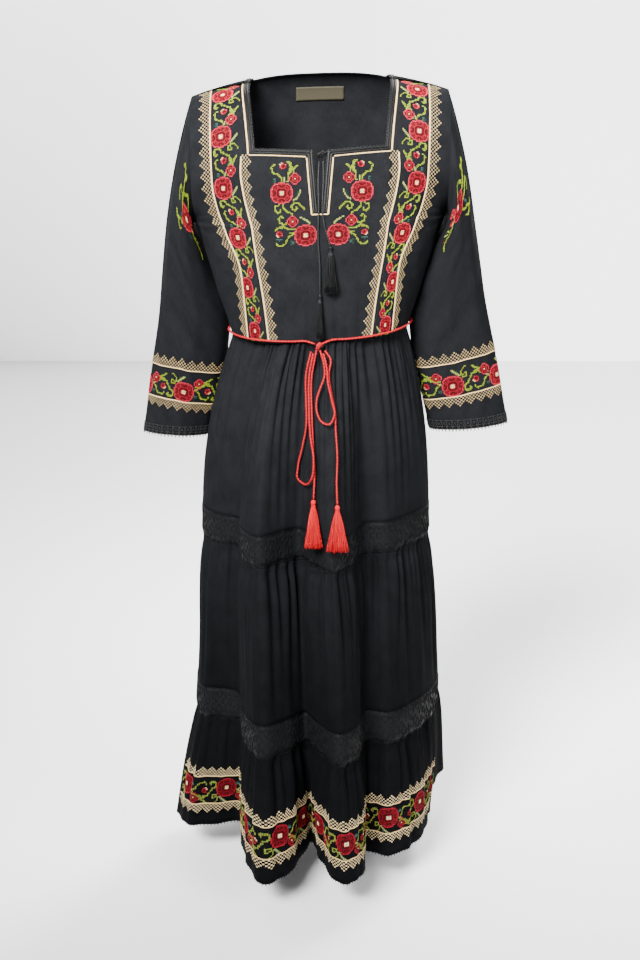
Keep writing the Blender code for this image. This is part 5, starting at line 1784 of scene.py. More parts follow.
CENTRE_STEMS = (
    ("g", (-5, -22), (-7.7, -20.4), (-7.2, -17), (-6, -15.2), (-3, -15), (-1.2, -13), (-0.2, -11), (0, -9)),
    ("gg", (4, -24), (6, -22.4), (6.6, -20), (6.4, -17.5), (5.2, -15)),
    ("g", (5.2, -15), (5, -11.5), (4.5, -9)),
    ("g", (12.4, -21.2), (9.7, -19.8), (9, -16)),
    ("g", (7.4, -18.6), (9, -17.6)),
    ("p", (2, -12.5), (2, -9)),
    ("e", (-6.4, -10.8), (-4.6, -11.4), (-5.0, -9.4)),
    ("tt", (-7.2, -9.4), (-6.0, -8.4)),
    ("p", (9.2, 5.6), (11, 4.4), (12.2, 2.8), (13.4, 0.8), (14.2, -1.6)),
    ("tt", (11.0, 1.8), (12.4, -1.0)),
    ("g", (7.2, 10.8), (8.7, 8.6), (12.2, 7.9), (14.7, 10.0), (17.4, 12.8)),
    ("g", (7.4, 10.2), (8.2, 12.8), (10.4, 13.8), (11.7, 12.2), (10.8, 10.8)),
    ("g", (-2, 9.4), (-4.7, 10.2), (-5.4, 13.0), (-3.7, 15.4), (-1.2, 14.8), (-1.0, 13.0)),
    ("g", (-4.4, 13.6), (-2.6, 15.6)),
    ("g", (0.7, 9.4), (1.7, 12.2), (4.2, 14.4), (7.2, 16.0), (8.7, 17.6)),
    ("g", (1.4, 19.4), (-0.6, 17.8), (-2.7, 19.6), (-1.9, 22.6), (0.7, 24), (3.7, 23.3)),
    ("g", (-5.2, 28.8), (-2.7, 26.5), (0.7, 25.4), (2.7, 27.1), (5.2, 28), (9.6, 27.8)),
    ("g", (-1.6, 26.8), (2.4, 26.2)),
    ("g", (-4.5, 38.8), (-2.2, 41.2), (0.7, 40.8), (3, 39.2), (3.7, 36.4), (6.2, 33.4), (8.6, 32.2)),
    ("g", (6.0, 31.4), (8.6, 31.2)),
    ("e", (-4.4, 35.6), (-2, 36.6), (0.4, 35.8)),
    ("e", (7.0, 37.2), (9.0, 38.4), (7.4, 39.6)),
    ("tt", (6.4, 28.6), (8.6, 29.4)),
    ("tt", (6.4, 38.2), (8.4, 39.8)),
    ("p", (13.9, 18.8), (16.4, 19.8), (18.4, 21.2), (20.4, 22.6), (20.8, 24.2)),
)


def make_centre_chart():
    """The sprig beside the slit: x towards the slit, y down, the upper rose at the origin."""
    chart = {}
    stamp_quarter(chart, ROSE_QUARTER, (0, 0))
    stamp_quarter(chart, ROSE_QUARTER, (18, 33))
    stamp_quarter(chart, FLOWER_QUARTER, (10, -11))
    stamp_quarter(chart, FLOWER_QUARTER, (8.5, 22))
    stamp(chart, BUD, (1, -21))
    stamp(chart, BUD, (-2, 32), flip_y=True)
    for one in CENTRE_STEMS:
        stem(chart, *one)
    return chart


def place_centre_motif(sign):
    """Stitch counts beside the slit."""

    def place(across, down):
        x = sign * (CENTRE_X - across * CENTRE_ACROSS) + CENTRE_SHIFT
        return front_at(x, CENTRE_Z - down * CENTRE_DOWN)

    return place


centre_chart = {
    at: letter
    for at, letter in make_centre_chart().items()
    if CENTRE_X - at[0] * CENTRE_ACROSS > SLIT_CLEAR or at[1] > BELOW_SLIT
}
sprigs = [lay_stitches(place_centre_motif(sign), centre_chart, THREADS, body_axis) for sign in SIGNS.values()]
stitch_piece("front_sprigs_stitches", sprigs)

# %% [markdown]
# ### Cuffs
# The same repeat is turned on its side and runs four times round each cuff, between two lines of
# lattice.

# %% Cuff borders
CUFF_UPPER = {"left": 8.22, "right": 8.14}
CUFF_LOWER = {"left": 9.09, "right": 9.02}
CUFF_SLANT = 0.11
CUFF_HEIGHT = 27
CUFF_AXIS = 18
CUFF_ROSE_TURN = {"left": 107.0, "right": 95.0}
CUFF_REPEATS = 4


def cuff_run(side):
    """Turns round a cuff, and how far round its middle each lies."""
    turns = np.linspace(-math.pi, 3 * math.pi, 1441)
    return turns, run_of(sleeve_core(side, turns, np.full(turns.shape, 8.6)))


def place_cuff(side):
    """Stitch counts on a cuff: across from its front rose towards the middle, down from its upper line."""
    turns, run = cuff_run(side)
    whole = float(np.interp(2 * math.pi, turns, run) - np.interp(0, turns, run))
    pitch = whole / (CUFF_REPEATS * REPEAT)
    origin = float(np.interp(math.radians(CUFF_ROSE_TURN[side]), turns, run))

    def place(across, down):
        turn = np.interp(np.mod(origin + across * pitch - run[0], whole) + run[0], run, turns)
        share = down / CUFF_HEIGHT
        station = CUFF_UPPER[side] + (CUFF_LOWER[side] - CUFF_UPPER[side]) * share - CUFF_SLANT * np.cos(turn)
        return sleeve(side, turn, station)

    return place


def sleeve_axis(side):
    """The middle of a sleeve at each point."""
    rings = hang(sleeve_core(side, np.linspace(0, 2 * math.pi, 24)[None, :], np.linspace(0, 10, 60)[:, None]))
    middles = rings.mean(axis=1)

    def centre(points):
        order = np.argsort(middles[:, 2])
        x, y = (np.interp(points[:, 2], middles[order, 2], middles[order, axis]) for axis in range(2))
        return np.column_stack([x, y, points[:, 2]])

    return centre

# %% Cuff stitches
NET_GAP = 0.6


def coarser(place, down_by):
    """Counts in lattice squares, from a line of the flowers' chart."""

    def place_net(across, down):
        return place(across * NET_SCALE, down * NET_SCALE + down_by)

    return place_net


cuff_chart = border(
    range(CUFF_REPEATS), lambda x, y, start: (-y + start, -x + CUFF_AXIS), lambda across, down: True
)
cuff_net = lattice(int(CUFF_REPEATS * REPEAT / NET_SCALE))
for side in SIGNS:
    place = place_cuff(side)
    axis_of = sleeve_axis(side)
    laid = [lay_stitches(place, cuff_chart, THREADS, axis_of)]
    above = [(along, -1 - out) for along, out in cuff_net]
    laid.append(lay_net(coarser(place, -NET_GAP), above, THREADS, axis_of))
    laid.append(lay_net(coarser(place, CUFF_HEIGHT + NET_GAP), cuff_net, THREADS, axis_of))
    stitch_piece(f"cuff_{side}_stitches", laid)

# %% [markdown]
# ### Upper arms
# Each sleeve carries one sprig on its outer side, a rose with a small flower, a bud and curls. Its chart
# is laid from the rose, in stitches round the arm and down it.

# %% Upper-arm sprigs
ARM_ROSE = {"left": (3.18, 98.0), "right": (2.55, 122.0)}
SPRIG_REACH = 0.6


ARM_STEMS = (
    ("g", (-3, -9), (-1.5, -13), (2, -15), (5, -13), (8, -9)),
    ("g", (9, 2), (12, 0), (14, -4), (18, -5), (20, -2), (18, 1)),
    ("gg", (8, -5), (12, -8), (13, -12), (11, -15)),
    ("g", (13, -12), (17, -14), (20, -12)),
    ("g", (7, 7), (11, 9), (15, 8), (17, 11), (15, 14), (12, 13)),
    ("g", (16, 9), (20, 10), (23, 8)),
    ("pp", (-9, -2), (-7, 1)),
    ("g", (-8, 3), (-9, 9), (-12, 12), (-15, 10)),
    ("g", (-9, 9), (-11, 15), (-14, 19), (-15, 25), (-14, 31)),
    ("pp", (-15, 14), (-18, 15)),
    ("tt", (-3, 10), (-5, 13)),
    ("ee", (11, 4), (13, 6)),
)


def make_arm_chart():
    """The sprig on an upper arm: x towards the outside of the arm, y down, the rose at the origin."""
    chart = {}
    stamp_quarter(chart, ROSE_QUARTER, (0, 0))
    stamp_quarter(chart, FLOWER_QUARTER, (-12, -7))
    stamp(chart, BUD, (-11, 4), flip_x=True, flip_y=True)
    for one in ARM_STEMS:
        stem(chart, *one)
    stamp_quarter(chart, ("cd", "d."), (-17, 21))
    return chart


def place_arm(side):
    """Stitch counts on an upper arm: across towards its outside, down towards the cuff."""
    station, turn = ARM_ROSE[side]
    turns = np.linspace(-math.pi / 2, 1.5 * math.pi, 721)
    stations = np.linspace(0, 10, 201)
    line = sleeve_core(side, np.full(len(stations), math.radians(turn)), stations)
    run = run_of(line)
    start = np.interp(station, stations, run)

    def place(across, down):
        at = np.clip(np.interp(start + down * STITCH, run, stations), 0.02, 10)
        ring = run_of(sleeve_core(side, turns, np.full(len(turns), station + SPRIG_REACH)))
        from_rose = np.interp(math.radians(turn), turns, ring)
        round_arm = np.interp(from_rose - across * STITCH, ring, turns)
        return sleeve(side, round_arm, at)

    return place


arm_chart = make_arm_chart()
for side in SIGNS:
    sprig = lay_stitches(place_arm(side), arm_chart, THREADS, sleeve_axis(side))
    stitch_piece(f"arm_{side}_stitches", [sprig])

# %% [markdown]
# ### Hem
# Twelve roses run round the front of the hem. Their distances are uneven, as the gathers take up more
# cloth in some places than in others. The hem's thread colours have light painted in: their reds are
# darker as painted shade, because the hem lies further from the lamps, and the cream and blue-green
# threads are lighter to make up for that dimmer light.

# %% Hem border
HEM_ROSES = (0.030, 0.108, 0.184, 0.263, 0.376, 0.456, 0.547, 0.638, 0.717, 0.797, 0.880, 0.958)
HEM_ROSE_Z = -1.1670
HEM_STITCH = 0.00203
HEM_UPPER = -10
HEM_LOWER = 13
HEM_LINES = np.linspace(0, FRONT_SPAN, 1501)
HEM_RUN = run_of(skirt_plan(HEM_LINES, HEM_ROSE_Z))


def place_hem(across, down):
    """Stitch counts on the hem's front: across from the right side seam, down from the roses' middle."""
    stops = REPEAT * np.arange(len(HEM_ROSES))
    run = smooth_read(stops, HEM_ROSES, across)
    run = run + np.where(across < 0, across * STITCH, 0)
    run = run + np.where(across > stops[-1], (across - stops[-1]) * STITCH, 0)
    line = np.interp(np.clip(run, 0.001, HEM_RUN[-1] - 0.001), HEM_RUN, HEM_LINES)
    return skirt(line, HEM_ROSE_Z - down * HEM_STITCH)


hem_start = -13
hem_stop = (len(HEM_ROSES) - 1) * REPEAT + 27
hem_chart = border(
    range(-1, len(HEM_ROSES) + 1),
    lambda x, y, start: (-y + start, x),
    lambda along, down: hem_start <= along <= hem_stop and HEM_UPPER < down < HEM_LOWER + 2,
)
hem_first = int(hem_start / NET_SCALE)
hem_net = [(along + hem_first, out) for along, out in lattice(int((hem_stop - hem_start) / NET_SCALE))]
upper_net = [(along, -1 - out) for along, out in hem_net]
stitch_piece(
    "hem_stitches",
    [
        lay_stitches(place_hem, hem_chart, HEM_THREADS_WITH_PAINTED_LIGHT, body_axis),
        lay_net(coarser(place_hem, HEM_UPPER - 0.8), upper_net, HEM_THREADS_WITH_PAINTED_LIGHT, body_axis),
        lay_net(coarser(place_hem, HEM_LOWER + 1.8), hem_net, HEM_THREADS_WITH_PAINTED_LIGHT, body_axis),
    ],
)

# %% [markdown]
# ### Cream braid
# Narrow cream lines of chain stitch frame the flowers. Each is a flat little tube that swells and
# narrows with every chain, laid on the cloth along the lines of the cut.

# %% Braid lines
CHAIN = 0.0030
braids = []


def lay_braid(line, half_width, half_height):
    """One line of chain stitch along places on the cloth, which come with the cloth's facings."""
    places, facings = line
    run = run_of(places)
    at = np.linspace(0, run[-1], max(int(run[-1] / (CHAIN / 3)), 6))
    ups = unit(walk(facings, run, at))
    points = walk(places, run, at)
    sides = unit(np.cross(unit(np.gradient(points, axis=0)), ups))
    swell = 0.80 + 0.20 * np.abs(np.sin(math.pi * at / CHAIN))
    points = points + ups * (WALL / 2 + half_height * 0.5)
    braids.append(tube(points, sides, ups, half_width * swell, half_height * swell, 6))


def facing_of(place, across, down, centre):
    """Places along a line and the cloth's outward facing there."""
    points = hang(place(across, down))
    over = hang(place(across + 0.2, down)) - points
    fall = hang(place(across, down + 0.2)) - points
    facing = unit(np.cross(over, fall))
    if np.sum(facing * (points - centre(points))) < 0:
        facing = -facing
    return points, facing


def front_rows(sign, x, row):
    """A line on the front bodice given by distances from the middle and rows."""
    turn = turn_at("front", sign * x, row)
    return hang(cloth_bodice("front", turn, row)), bodice_facing("front", turn, row)


def front_line(sign, x, z):
    """A line on the front bodice given by distances from the middle and heights."""
    return front_rows(sign, x, row_at("front", sign * x, z))

# %% Braid on the bodice
for sign in SIGNS.values():
    row = np.linspace(0.005, 1.985, 400)
    lay_braid(front_rows(sign, band_x(row, 1.0), row), 0.0015, 0.0008)
    z = np.linspace(-0.0985, -0.3735, 300)
    lay_braid(front_line(sign, smooth_read(LOWER_LINE["z"], LOWER_LINE["x"], z), z), 0.0014, 0.0008)
    row = np.linspace(0.0, float(row_at("front", 0.1065, NECKLINE_Z)), 120)
    lay_braid(front_rows(sign, band_x(row, 0.0) + 0.0016, row), 0.0015, 0.0008)
    x = np.linspace(0.1070, SLIT_TOP_HALF + 0.002, 120)
    lay_braid(front_line(sign, x, neckline_z(x) - 0.0012), 0.0010, 0.0007)
    z = np.linspace(NECKLINE_Z - NECKLINE_DIP - 0.001, SLIT_BOTTOM_Z - 0.002, 100)
    lay_braid(front_line(sign, slit_half(z) + 0.0016, z), 0.0013, 0.0008)
x = np.linspace(-SLIT_BOTTOM_HALF - 0.0015, SLIT_BOTTOM_HALF + 0.0015, 30)
lay_braid(front_line(1.0, x, np.full(30, SLIT_BOTTOM_Z - 0.0022)), 0.0011, 0.0007)

# %% Braid on the cuffs and the hem
BORDER_BRAID = (0.0010, 0.0006)
for side in SIGNS:
    across = np.linspace(0, CUFF_REPEATS * REPEAT, 400)
    for down in (-0.3, CUFF_HEIGHT + 0.3):
        lay_braid(facing_of(place_cuff(side), across, np.full(400, down), sleeve_axis(side)), *BORDER_BRAID)
across = np.linspace(hem_start, hem_stop, 900)
for down in (HEM_UPPER - 0.4, HEM_LOWER + 1.4):
    lay_braid(facing_of(place_hem, across, np.full(900, down), body_axis), *BORDER_BRAID)
new_piece("cream_braid_lines", gather_parts(braids), cream_braid, "cotton")

# %% [markdown]
# ## Crochet lace
# Two bands of black crochet join the tiers. The real lace is one flower repeat worked round and round, a
# ring of petals between scrolls, in a thick yarn on a fine net. The net is the ground laid above; here
# the yarn of one repeat is drawn once as a few lines, and then laid along the band, with a raised ridge,
# as often as it fits.

# %% Yarn drawn on a surface


def surface_grid(place, columns, rows, centre):
    """Points of a surface and their outward facing, on a grid that drawn lines are read from."""
    across, down = np.meshgrid(np.arange(columns + 1), np.arange(rows + 1))
    points = hang(place(across, down))
    over = np.gradient(points, axis=1)
    fall = np.gradient(points, axis=0)
    facing = unit(np.cross(over, fall))
    if np.sum(facing * (points - centre(points.reshape(-1, 3)).reshape(points.shape))) < 0:
        facing = -facing
    return points, facing


def read_grid(grid, across, down):
    """The grid between its points, straight from one to the next."""
    rows = grid.shape[0] - 1
    columns = grid.shape[1] - 1
    across = np.clip(across, 0, columns - 1e-6)
    down = np.clip(down, 0, rows - 1e-6)
    i = down.astype(int)
    j = across.astype(int)
    u = (across - j)[..., None]
    v = (down - i)[..., None]
    upper = grid[i, j] * (1 - u) + grid[i, j + 1] * u
    lower = grid[i + 1, j] * (1 - u) + grid[i + 1, j + 1] * u
    return upper * (1 - v) + lower * v

# %% Yarn as a ridge


def lay_yarn(grid, lines, starts, scale, width, height, lift):
    """Yarn on a surface: each line of a drawing is laid at every start, as a three-sided ridge."""
    points, facing = grid
    parts = []
    for line, closed in lines:
        line = np.asarray(line, dtype=float)
        across = starts[:, None, 0] + line[None, :, 0] * scale[0]
        down = starts[:, None, 1] + line[None, :, 1] * scale[1]
        middle = read_grid(points, across, down)
        up = unit(read_grid(facing, across, down))
        if closed:
            along = np.roll(middle, -1, axis=1) - np.roll(middle, 1, axis=1)
        else:
            along = np.gradient(middle, axis=1)
        side = unit(np.cross(unit(along), up))
        base = middle + up * lift
        ring = np.stack([base - side * width / 2, base + side * width / 2, base + up * height], axis=2)
        count = len(line)
        copies = len(starts)
        steps = np.arange(count if closed else count - 1)
        after = (steps + 1) % count
        quads = []
        for corner, other in ((0, 1), (1, 2), (2, 0)):
            around = [steps * 3 + other, steps * 3 + corner, after * 3 + corner, after * 3 + other]
            quads.append(np.stack(around, axis=1))
        firsts = (np.arange(copies) * count * 3)[:, None, None]
        faces = (np.concatenate(quads)[None] + firsts).reshape(-1, 4).tolist()
        if not closed:
            for copy in range(copies):
                first = copy * count * 3
                last = first + (count - 1) * 3
                faces.append([first, first + 1, first + 2])
                faces.append([last + 2, last + 1, last])
        parts.append((ring.reshape(-1, 3), faces))
    return gather_parts(parts)

# %% Lines to draw with


def circle(x, y, radius, steps, lobes=0, depth=0.0, start=0.0):
    """A closed round or lobed line."""
    turn = 2 * math.pi * np.arange(steps) / steps
    reach = radius * (1 + depth * np.cos(lobes * turn + start))
    return np.column_stack([x + reach * np.cos(turn), y + reach * np.sin(turn)]), True


def scroll(x, y, radius, first, last, steps=9, shrink=0.0):
    """An open arc that may curl in."""
    turn = np.radians(np.linspace(first, last, steps))
    reach = radius * (1 - shrink * np.linspace(0, 1, steps))
    return np.column_stack([x + reach * np.cos(turn), y + reach * np.sin(turn)]), False

# %% [markdown]
# ### Lace bands
# One repeat is drawn in a square, 1 wide and 1 high, and stretched to the band's height.

# %% Lace bands
LACE_YARN = {"width": 0.0017, "height": 0.0014}
LACE_REPEAT = 0.040


def lace_drawing():
    """One repeat of the lace: a flower of six petals, scrolls above and below, and edge cords."""
    lines = [
        circle(0.5, 0.50, 0.29, 36, lobes=6, depth=0.30),
        circle(0.5, 0.50, 0.10, 9),
        circle(0.0, 0.26, 0.12, 12, lobes=4, depth=0.25),
        circle(0.0, 0.74, 0.12, 12, lobes=4, depth=0.25),
        scroll(0.24, 0.16, 0.12, 200, -60, 9, 0.5),
        scroll(0.76, 0.16, 0.12, -20, 240, 9, 0.5),
        scroll(0.24, 0.84, 0.12, 160, 420, 9, 0.5),
        scroll(0.76, 0.84, 0.12, 20, -240, 9, 0.5),
    ]
    for low in (0.035, 0.965):
        wave = np.linspace(0, 1, 13)
        lines.append((np.column_stack([wave, low + 0.022 * np.sin(wave * 6 * math.pi)]), False))
    wave = np.linspace(0, 1, 9)
    lines.append((np.column_stack([wave, np.full(9, 0.0)]), False))
    lines.append((np.column_stack([wave, 0.93 + 0.09 * np.abs(np.sin(wave * 2 * math.pi))]), False))
    return lines


def even_starts(columns, repeats):
    """Where each repeat starts on a grid, at its upper edge."""
    return np.column_stack([np.arange(repeats) * columns / repeats, np.zeros(repeats)])


lace_lines = lace_drawing()
for lace, (top, bottom, rows) in LACES.items():
    for half, (start, stop, columns) in HALVES.items():
        grid = surface_grid(place_tier(top, bottom, rows, start, stop, columns), columns, rows, body_axis)
        repeats = int(round(run_of(grid[0][rows // 2])[-1] / LACE_REPEAT))
        starts = even_starts(columns, repeats)
        yarn = lay_yarn(grid, lace_lines, starts, (columns / repeats, rows), lift=0.0002, **LACE_YARN)
        new_piece(f"lace_{lace}_{half}_yarn", yarn, lace_yarn, "lace")

# %% [markdown]
# ## Crochet edgings
# The neck, the cuffs and the hem end in a black crochet edge: a narrow band with small rings, and a row
# of open picot loops. A picot row is one yarn that loops forward and back as it goes, so it is one tube
# along a looping line.

# %% Picot loops
PICOT = {"pitch": 0.0060, "height": 0.0038, "curl": 0.0017, "radius": 0.00055}


def picots(name, edge, down, facing, finish, closed=True, pitch=PICOT["pitch"], height=PICOT["height"]):
    """A row of picot loops hanging from an edge, in the cloth's own direction."""
    run = run_of(edge)
    loops = int(round(run[-1] / pitch))
    at = np.linspace(0, run[-1], loops * 8 + 1)
    phase = 2 * math.pi * at / (run[-1] / loops)
    along = at + PICOT["curl"] * np.sin(phase)
    along = np.mod(along, run[-1]) if closed else np.clip(along, 0, run[-1])
    out = unit(walk(facing, run, along))
    fall = unit(walk(down, run, along)) * (height * (0.5 - 0.5 * np.cos(phase)))[:, None]
    points = walk(edge, run, along) + fall + out * (0.0004 * np.sin(phase / 2))[:, None]
    ahead = unit(np.gradient(points, axis=0))
    side = unit(np.cross(ahead, out))
    loop_line = tube(points, side, np.cross(side, ahead), PICOT["radius"], PICOT["radius"], 4)
    new_piece(name, loop_line, finish, "crochet_edging")

# %% [markdown]
# ### Cuff and hem edges
# Above the picots, a cuff's edging is a narrow band of rings between two cords, on a firm rim. The hem
# has the rim alone.

# %% Cuff edges
RING_ROWS = ((0.22, 0.13), (0.58, 0.16), (0.88, 0.10))


def edge_drawing():
    """One repeat of the crochet edge, 1 wide and 1 high: three rows of rings and two cords."""
    lines = [circle(0.5, middle, radius, 10) for middle, radius in RING_ROWS]
    lines.append(circle(0.0, 0.40, 0.12, 8))
    wave = np.linspace(0, 1, 7)
    lines.append((np.column_stack([wave, 0.03 + 0.03 * np.cos(wave * 2 * math.pi)]), False))
    lines.append((np.column_stack([wave, 0.75 + 0.05 * np.cos(wave * 4 * math.pi)]), False))
    return lines


EDGE_REPEAT = 0.0085
EDGE_GRID = (160, 6)
EDGE_TOP = 9.76
EDGE_YARN = (0.0009, 0.0009)


def place_cuff_edge(side):
    """The last 14 mm of a sleeve and its narrow edging."""

    def place(across, down):
        station = EDGE_TOP + (10 - EDGE_TOP) * down / EDGE_GRID[1]
        return sleeve(side, 2 * math.pi * across / EDGE_GRID[0], station)

    return place


edge_lines = edge_drawing()
for side in SIGNS:
    points, facing = surface_grid(place_cuff_edge(side), *EDGE_GRID, sleeve_axis(side))
    edge = points[-1]
    repeats = int(round(run_of(edge)[-1] / EDGE_REPEAT))
    starts = even_starts(EDGE_GRID[0], repeats)
    scale = (EDGE_GRID[0] / repeats, EDGE_GRID[1])
    band = lay_yarn((points, facing), edge_lines, starts, scale, *EDGE_YARN, WALL / 2)
    hanging = unit(edge - points[-2])
    rim = tube(edge + hanging * 0.0008, hanging, facing[-1], 0.0010, 0.0012, 6)
    shape = gather_parts([band, rim])
    new_piece(f"cuff_{side}_crochet", shape, edge_yarn, "crochet_edging", f"cuff_edging_{side}")
    picots(f"cuff_{side}_picots", edge + hanging * 0.0014, hanging, facing[-1], edge_yarn)

# %% Hem edge
hem_lines = np.concatenate([even_lines(0, FRONT_SPAN, 420)[:-1], even_lines(FRONT_SPAN, len(FOLDS), 260)])
hem_edge = hang(skirt(hem_lines, HEM_Z))
hem_down = np.tile((0.0, 0.0, -1.0), (len(hem_edge), 1))
hem_along = np.gradient(hem_edge, axis=0)
hem_out = unit(np.cross(hem_down, hem_along))
if np.sum(hem_out * (hem_edge - body_axis(hem_edge))) < 0:
    hem_out = -hem_out
rim = tube(hem_edge - (0, 0, 0.0006), hem_out, np.cross(unit(hem_along), hem_out), 0.0012, 0.0010, 6)
new_piece("hem_rim", rim, lace_yarn, "crochet_edging", "hem_edging")
picots("hem_picots", hem_edge - (0, 0, 0.0010), hem_down, hem_out, edge_yarn, height=0.0026)

# %% [markdown]
# ### Neck edge
# A narrow crocheted tape runs from the back corner over the shoulder, along the front neck edge and down
# the slit. It carries rings and fine cords, and beside the slit two thicker twisted strands.

# %% The line of the neck
NECK_COUNTS = (8, 40, 44, 36)


def neck_line(sign, depth):
    """The neck edge of one side, a depth in from the cloth, from the back corner to the slit's bottom."""
    back_row = np.linspace(BACK_NECK_ROW, 0.02, NECK_COUNTS[0])
    corner = float(band_edge("inner", NECKLINE_Z)) - depth
    corner_row = float(row_at("front", corner, neckline_z(corner) + depth))
    band_row = np.linspace(0.0, corner_row, NECK_COUNTS[1])
    neck_x = np.linspace(corner, SLIT_TOP_HALF - depth, NECK_COUNTS[2])[1:]
    slit_z = np.linspace(NECKLINE_Z - NECKLINE_DIP + depth, SLIT_BOTTOM_Z + 0.001, NECK_COUNTS[3])[1:]
    slit_x = slit_half(slit_z) - depth
    parts = (
        ("back", back_neck_half(back_row) - depth, back_row),
        ("front", band_x(band_row, 0.0) - depth, band_row),
        ("front", neck_x, row_at("front", sign * neck_x, neckline_z(neck_x) + depth)),
        ("front", slit_x, row_at("front", sign * slit_x, slit_z)),
    )
    return np.concatenate([at_x(bodice, side, sign * half, row) for side, half, row in parts])

# %% Neck tapes and cords
NECK_REPEAT = 0.0064
NECK_TAPE_ROWS = 4
NECK_CORD = {"radius": 0.0012, "pitch": 0.0066, "lobes": 2, "corners": 6, "groove": 0.4}
NECK_PICOT = {"pitch": 0.0048, "height": 0.0020}
SLIT_CORD = {"radius": 0.0019, "pitch": 0.0072, "groove": 0.5}
SLIT_START = sum(NECK_COUNTS[:3]) - 2

for name, sign in SIGNS.items():
    depths = np.linspace(0.0003, EDGING_WIDTH, NECK_TAPE_ROWS + 1)
    neck_grid = np.stack([neck_line(sign, depth) for depth in depths])
    columns = neck_grid.shape[1] - 1
    place = lambda across, down: neck_grid[down, across]
    node = f"neck_edging_{name}"
    lay_cloth(
        f"neck_{name}_tape", columns, NECK_TAPE_ROWS, place, node, lace_yarn, "crochet_edging", wall=LACE_WALL
    )
    points, facing = surface_grid(place, columns, NECK_TAPE_ROWS, body_axis)
    run = run_of(points[2])
    repeats = int(round(run[-1] / NECK_REPEAT))
    places = np.interp(np.arange(repeats) * run[-1] / repeats, run, np.arange(columns + 1))
    starts = np.column_stack([places, np.zeros(repeats)])
    scale = (columns / repeats, NECK_TAPE_ROWS)
    neck_cords = [lay_yarn((points, facing), edge_lines, starts, scale, 0.0009, 0.0008, 0.0004)]
    slit_cords = []
    for depth_row in (1, 3):
        line = points[depth_row] + facing[depth_row] * 0.0010
        neck_cords.append(twisted(line[: SLIT_START + 1], **NECK_CORD))
        slit_cords.append(twisted(line[SLIT_START:] + facing[depth_row][SLIT_START:] * 0.0006, **SLIT_CORD))
    new_piece(f"slit_{name}_cords", gather_parts(slit_cords), tie_yarn, "crochet_edging")
    new_piece(f"neck_{name}_crochet", gather_parts(neck_cords), neck_yarn, "crochet_edging")
    inward = unit(points[-1] - points[-2])
    picots(f"neck_{name}_picots", points[-1], inward, facing[-1], neck_yarn, False, **NECK_PICOT)

# %% [markdown]
# ## Label
# A small woven tape inside the back neck, sewn down at its ends. It is left bare.

# %% Label
LABEL_HALF_WIDTH = 0.038
LABEL_ROWS = (0.36, 0.425)
LABEL_GRID = (24, 8)
LABEL_THICKNESS = 0.0010
LABEL_INSET = WALL / 2 + LABEL_THICKNESS / 2 + 0.0007


def place_label(across, down):
    """The label's points, on the inside of the back."""
    x = -LABEL_HALF_WIDTH + 2 * LABEL_HALF_WIDTH * across / LABEL_GRID[0]
    row = LABEL_ROWS[0] + (LABEL_ROWS[1] - LABEL_ROWS[0]) * down / LABEL_GRID[1]
    turn = turn_at("back", x, row)
    return bodice("back", turn, row) - bodice_facing("back", turn, row) * LABEL_INSET


label = lay_cloth(
    "label_tape", *LABEL_GRID, place_label, "neck_label", label_tape, "label", wall=LABEL_THICKNESS
)

# %% [markdown]
# ## Cloth sizes
# Each panel is stated as the sheet it was cut as. The bodice hangs from its back and bands, which lie on
# the shoulders. The tiers are gathered, so their flat width is what the folds take up.

# %% Flat sizes
cut(back)
for name in SIGNS:
    cut(bands[name])
    cut(sides[name])
    cut(sleeves[name])
cut(front_centre)
for half in HALVES:
    above = front_centre[0] if half == "front" else back[0]
    for tier, lace in (("upper", "upper"), ("middle", "lower"), ("lower", None)):
        cut(tiers[tier, half])
        if lace:
            cut(laces[lace, half])
            above = laces[lace, half][0]
cut(label)

# %% [markdown]
# ## Stage
# A plain pale floor just below the hem, a pale surround and large soft lamps, as in a studio.

# %% Floor and backdrop
FLOOR_Z = -1.30
BACKDROP_Y = 4.5
BACKDROP_SIZE = 16
WORLD_STRENGTH = 0.35
FLOOR_GLOW = 0.0
BACKDROP_GLOW = 3.0


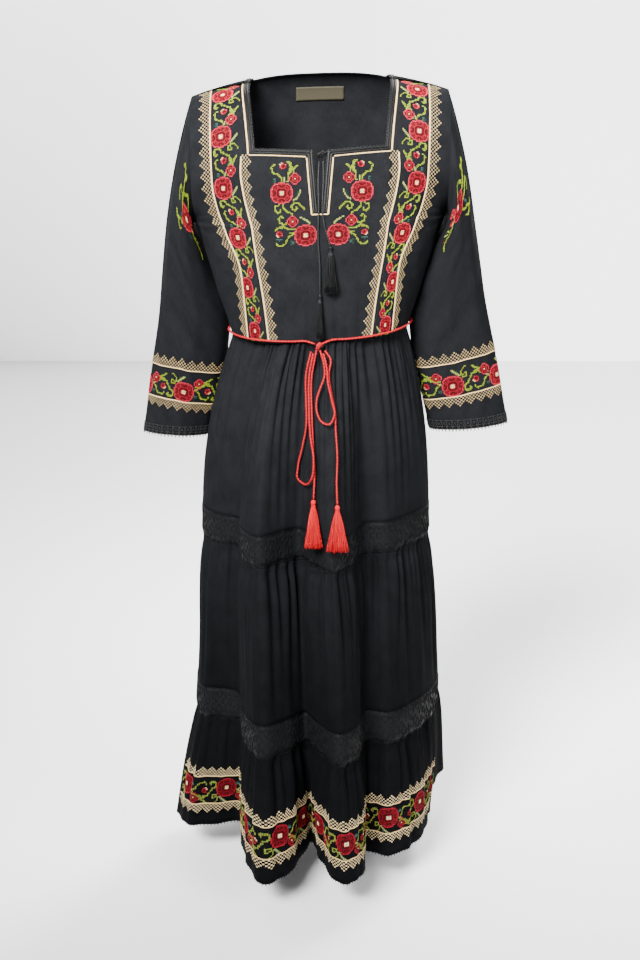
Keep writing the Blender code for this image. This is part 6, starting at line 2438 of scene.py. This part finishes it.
def pale_paper(name, glow, low=(1.0, 1.0, 1.0, 1.0)):
    """White paper, with a share of light of its own where lamps that don't reach the dress would light it."""
    finish = Finish(name, roughness=0.95)
    height = finish.node("ShaderNodeSeparateXYZ", None, {"Vector": finish.place()}, output=2)
    rise = finish.node("ShaderNodeMapRange", None, {"Value": height, "From Min": FLOOR_Z, "From Max": 0.9})
    finish.set("Emission Color", finish.mix(rise, low, (1.0, 1.0, 1.0, 1.0)))
    finish.set("Base Color", (0.93, 0.93, 0.93, 1.0))
    finish.set("Specular IOR Level", 0.0)
    finish.set("Emission Strength", glow)
    return finish.material


deselect()
bpy.ops.mesh.primitive_plane_add(size=60, location=(0, 0, FLOOR_Z))
floor = bpy.context.object
floor.name = "studio_floor"
floor.data.materials.append(pale_paper("floor paper", FLOOR_GLOW))
deselect()
BACKDROP_AT = (0, BACKDROP_Y, FLOOR_Z + BACKDROP_SIZE / 2)
bpy.ops.mesh.primitive_plane_add(size=BACKDROP_SIZE, location=BACKDROP_AT, rotation=(math.radians(90), 0, 0))
backdrop = bpy.context.object
backdrop.name = "studio_backdrop"
bpy.ops.object.transform_apply(location=True, rotation=True, scale=True)
backdrop.data.materials.append(pale_paper("backdrop paper", BACKDROP_GLOW, (0.12, 0.12, 0.12, 1.0)))

# %% Light
world = bpy.data.worlds.new("studio")
world.use_nodes = True
world.node_tree.nodes["Background"].inputs["Color"].default_value = (1.0, 1.0, 1.0, 1.0)
world.node_tree.nodes["Background"].inputs["Strength"].default_value = WORLD_STRENGTH
bpy.context.scene.world = world
LAMPS = {
    "key": ((-1.3, -3.3, 2.30), (0.0, 0.0, 0.28), 145.0, 1.9, 40.0),
    "fill": ((2.6, -2.6, 1.2), (0.0, 0.0, -0.30), 26.0, 1.4, 70.0),
    "rim": ((1.8, 2.6, 2.4), (0.0, 0.0, -0.40), 40.0, 1.2, 70.0),
}
for name, (at, aim, power, size, cone) in LAMPS.items():
    deselect()
    bpy.ops.object.light_add(type="AREA", location=at)
    lamp = bpy.context.object
    lamp.name = f"lamp_{name}"
    lamp.data.energy = power
    lamp.data.size = size
    lamp.data.spread = math.radians(cone)
    towards = np.array(aim) - np.array(at)
    tilt = math.atan2(math.hypot(towards[0], towards[1]), -towards[2])
    lamp.rotation_euler = (tilt, 0, math.atan2(towards[1], towards[0]) - math.pi / 2)
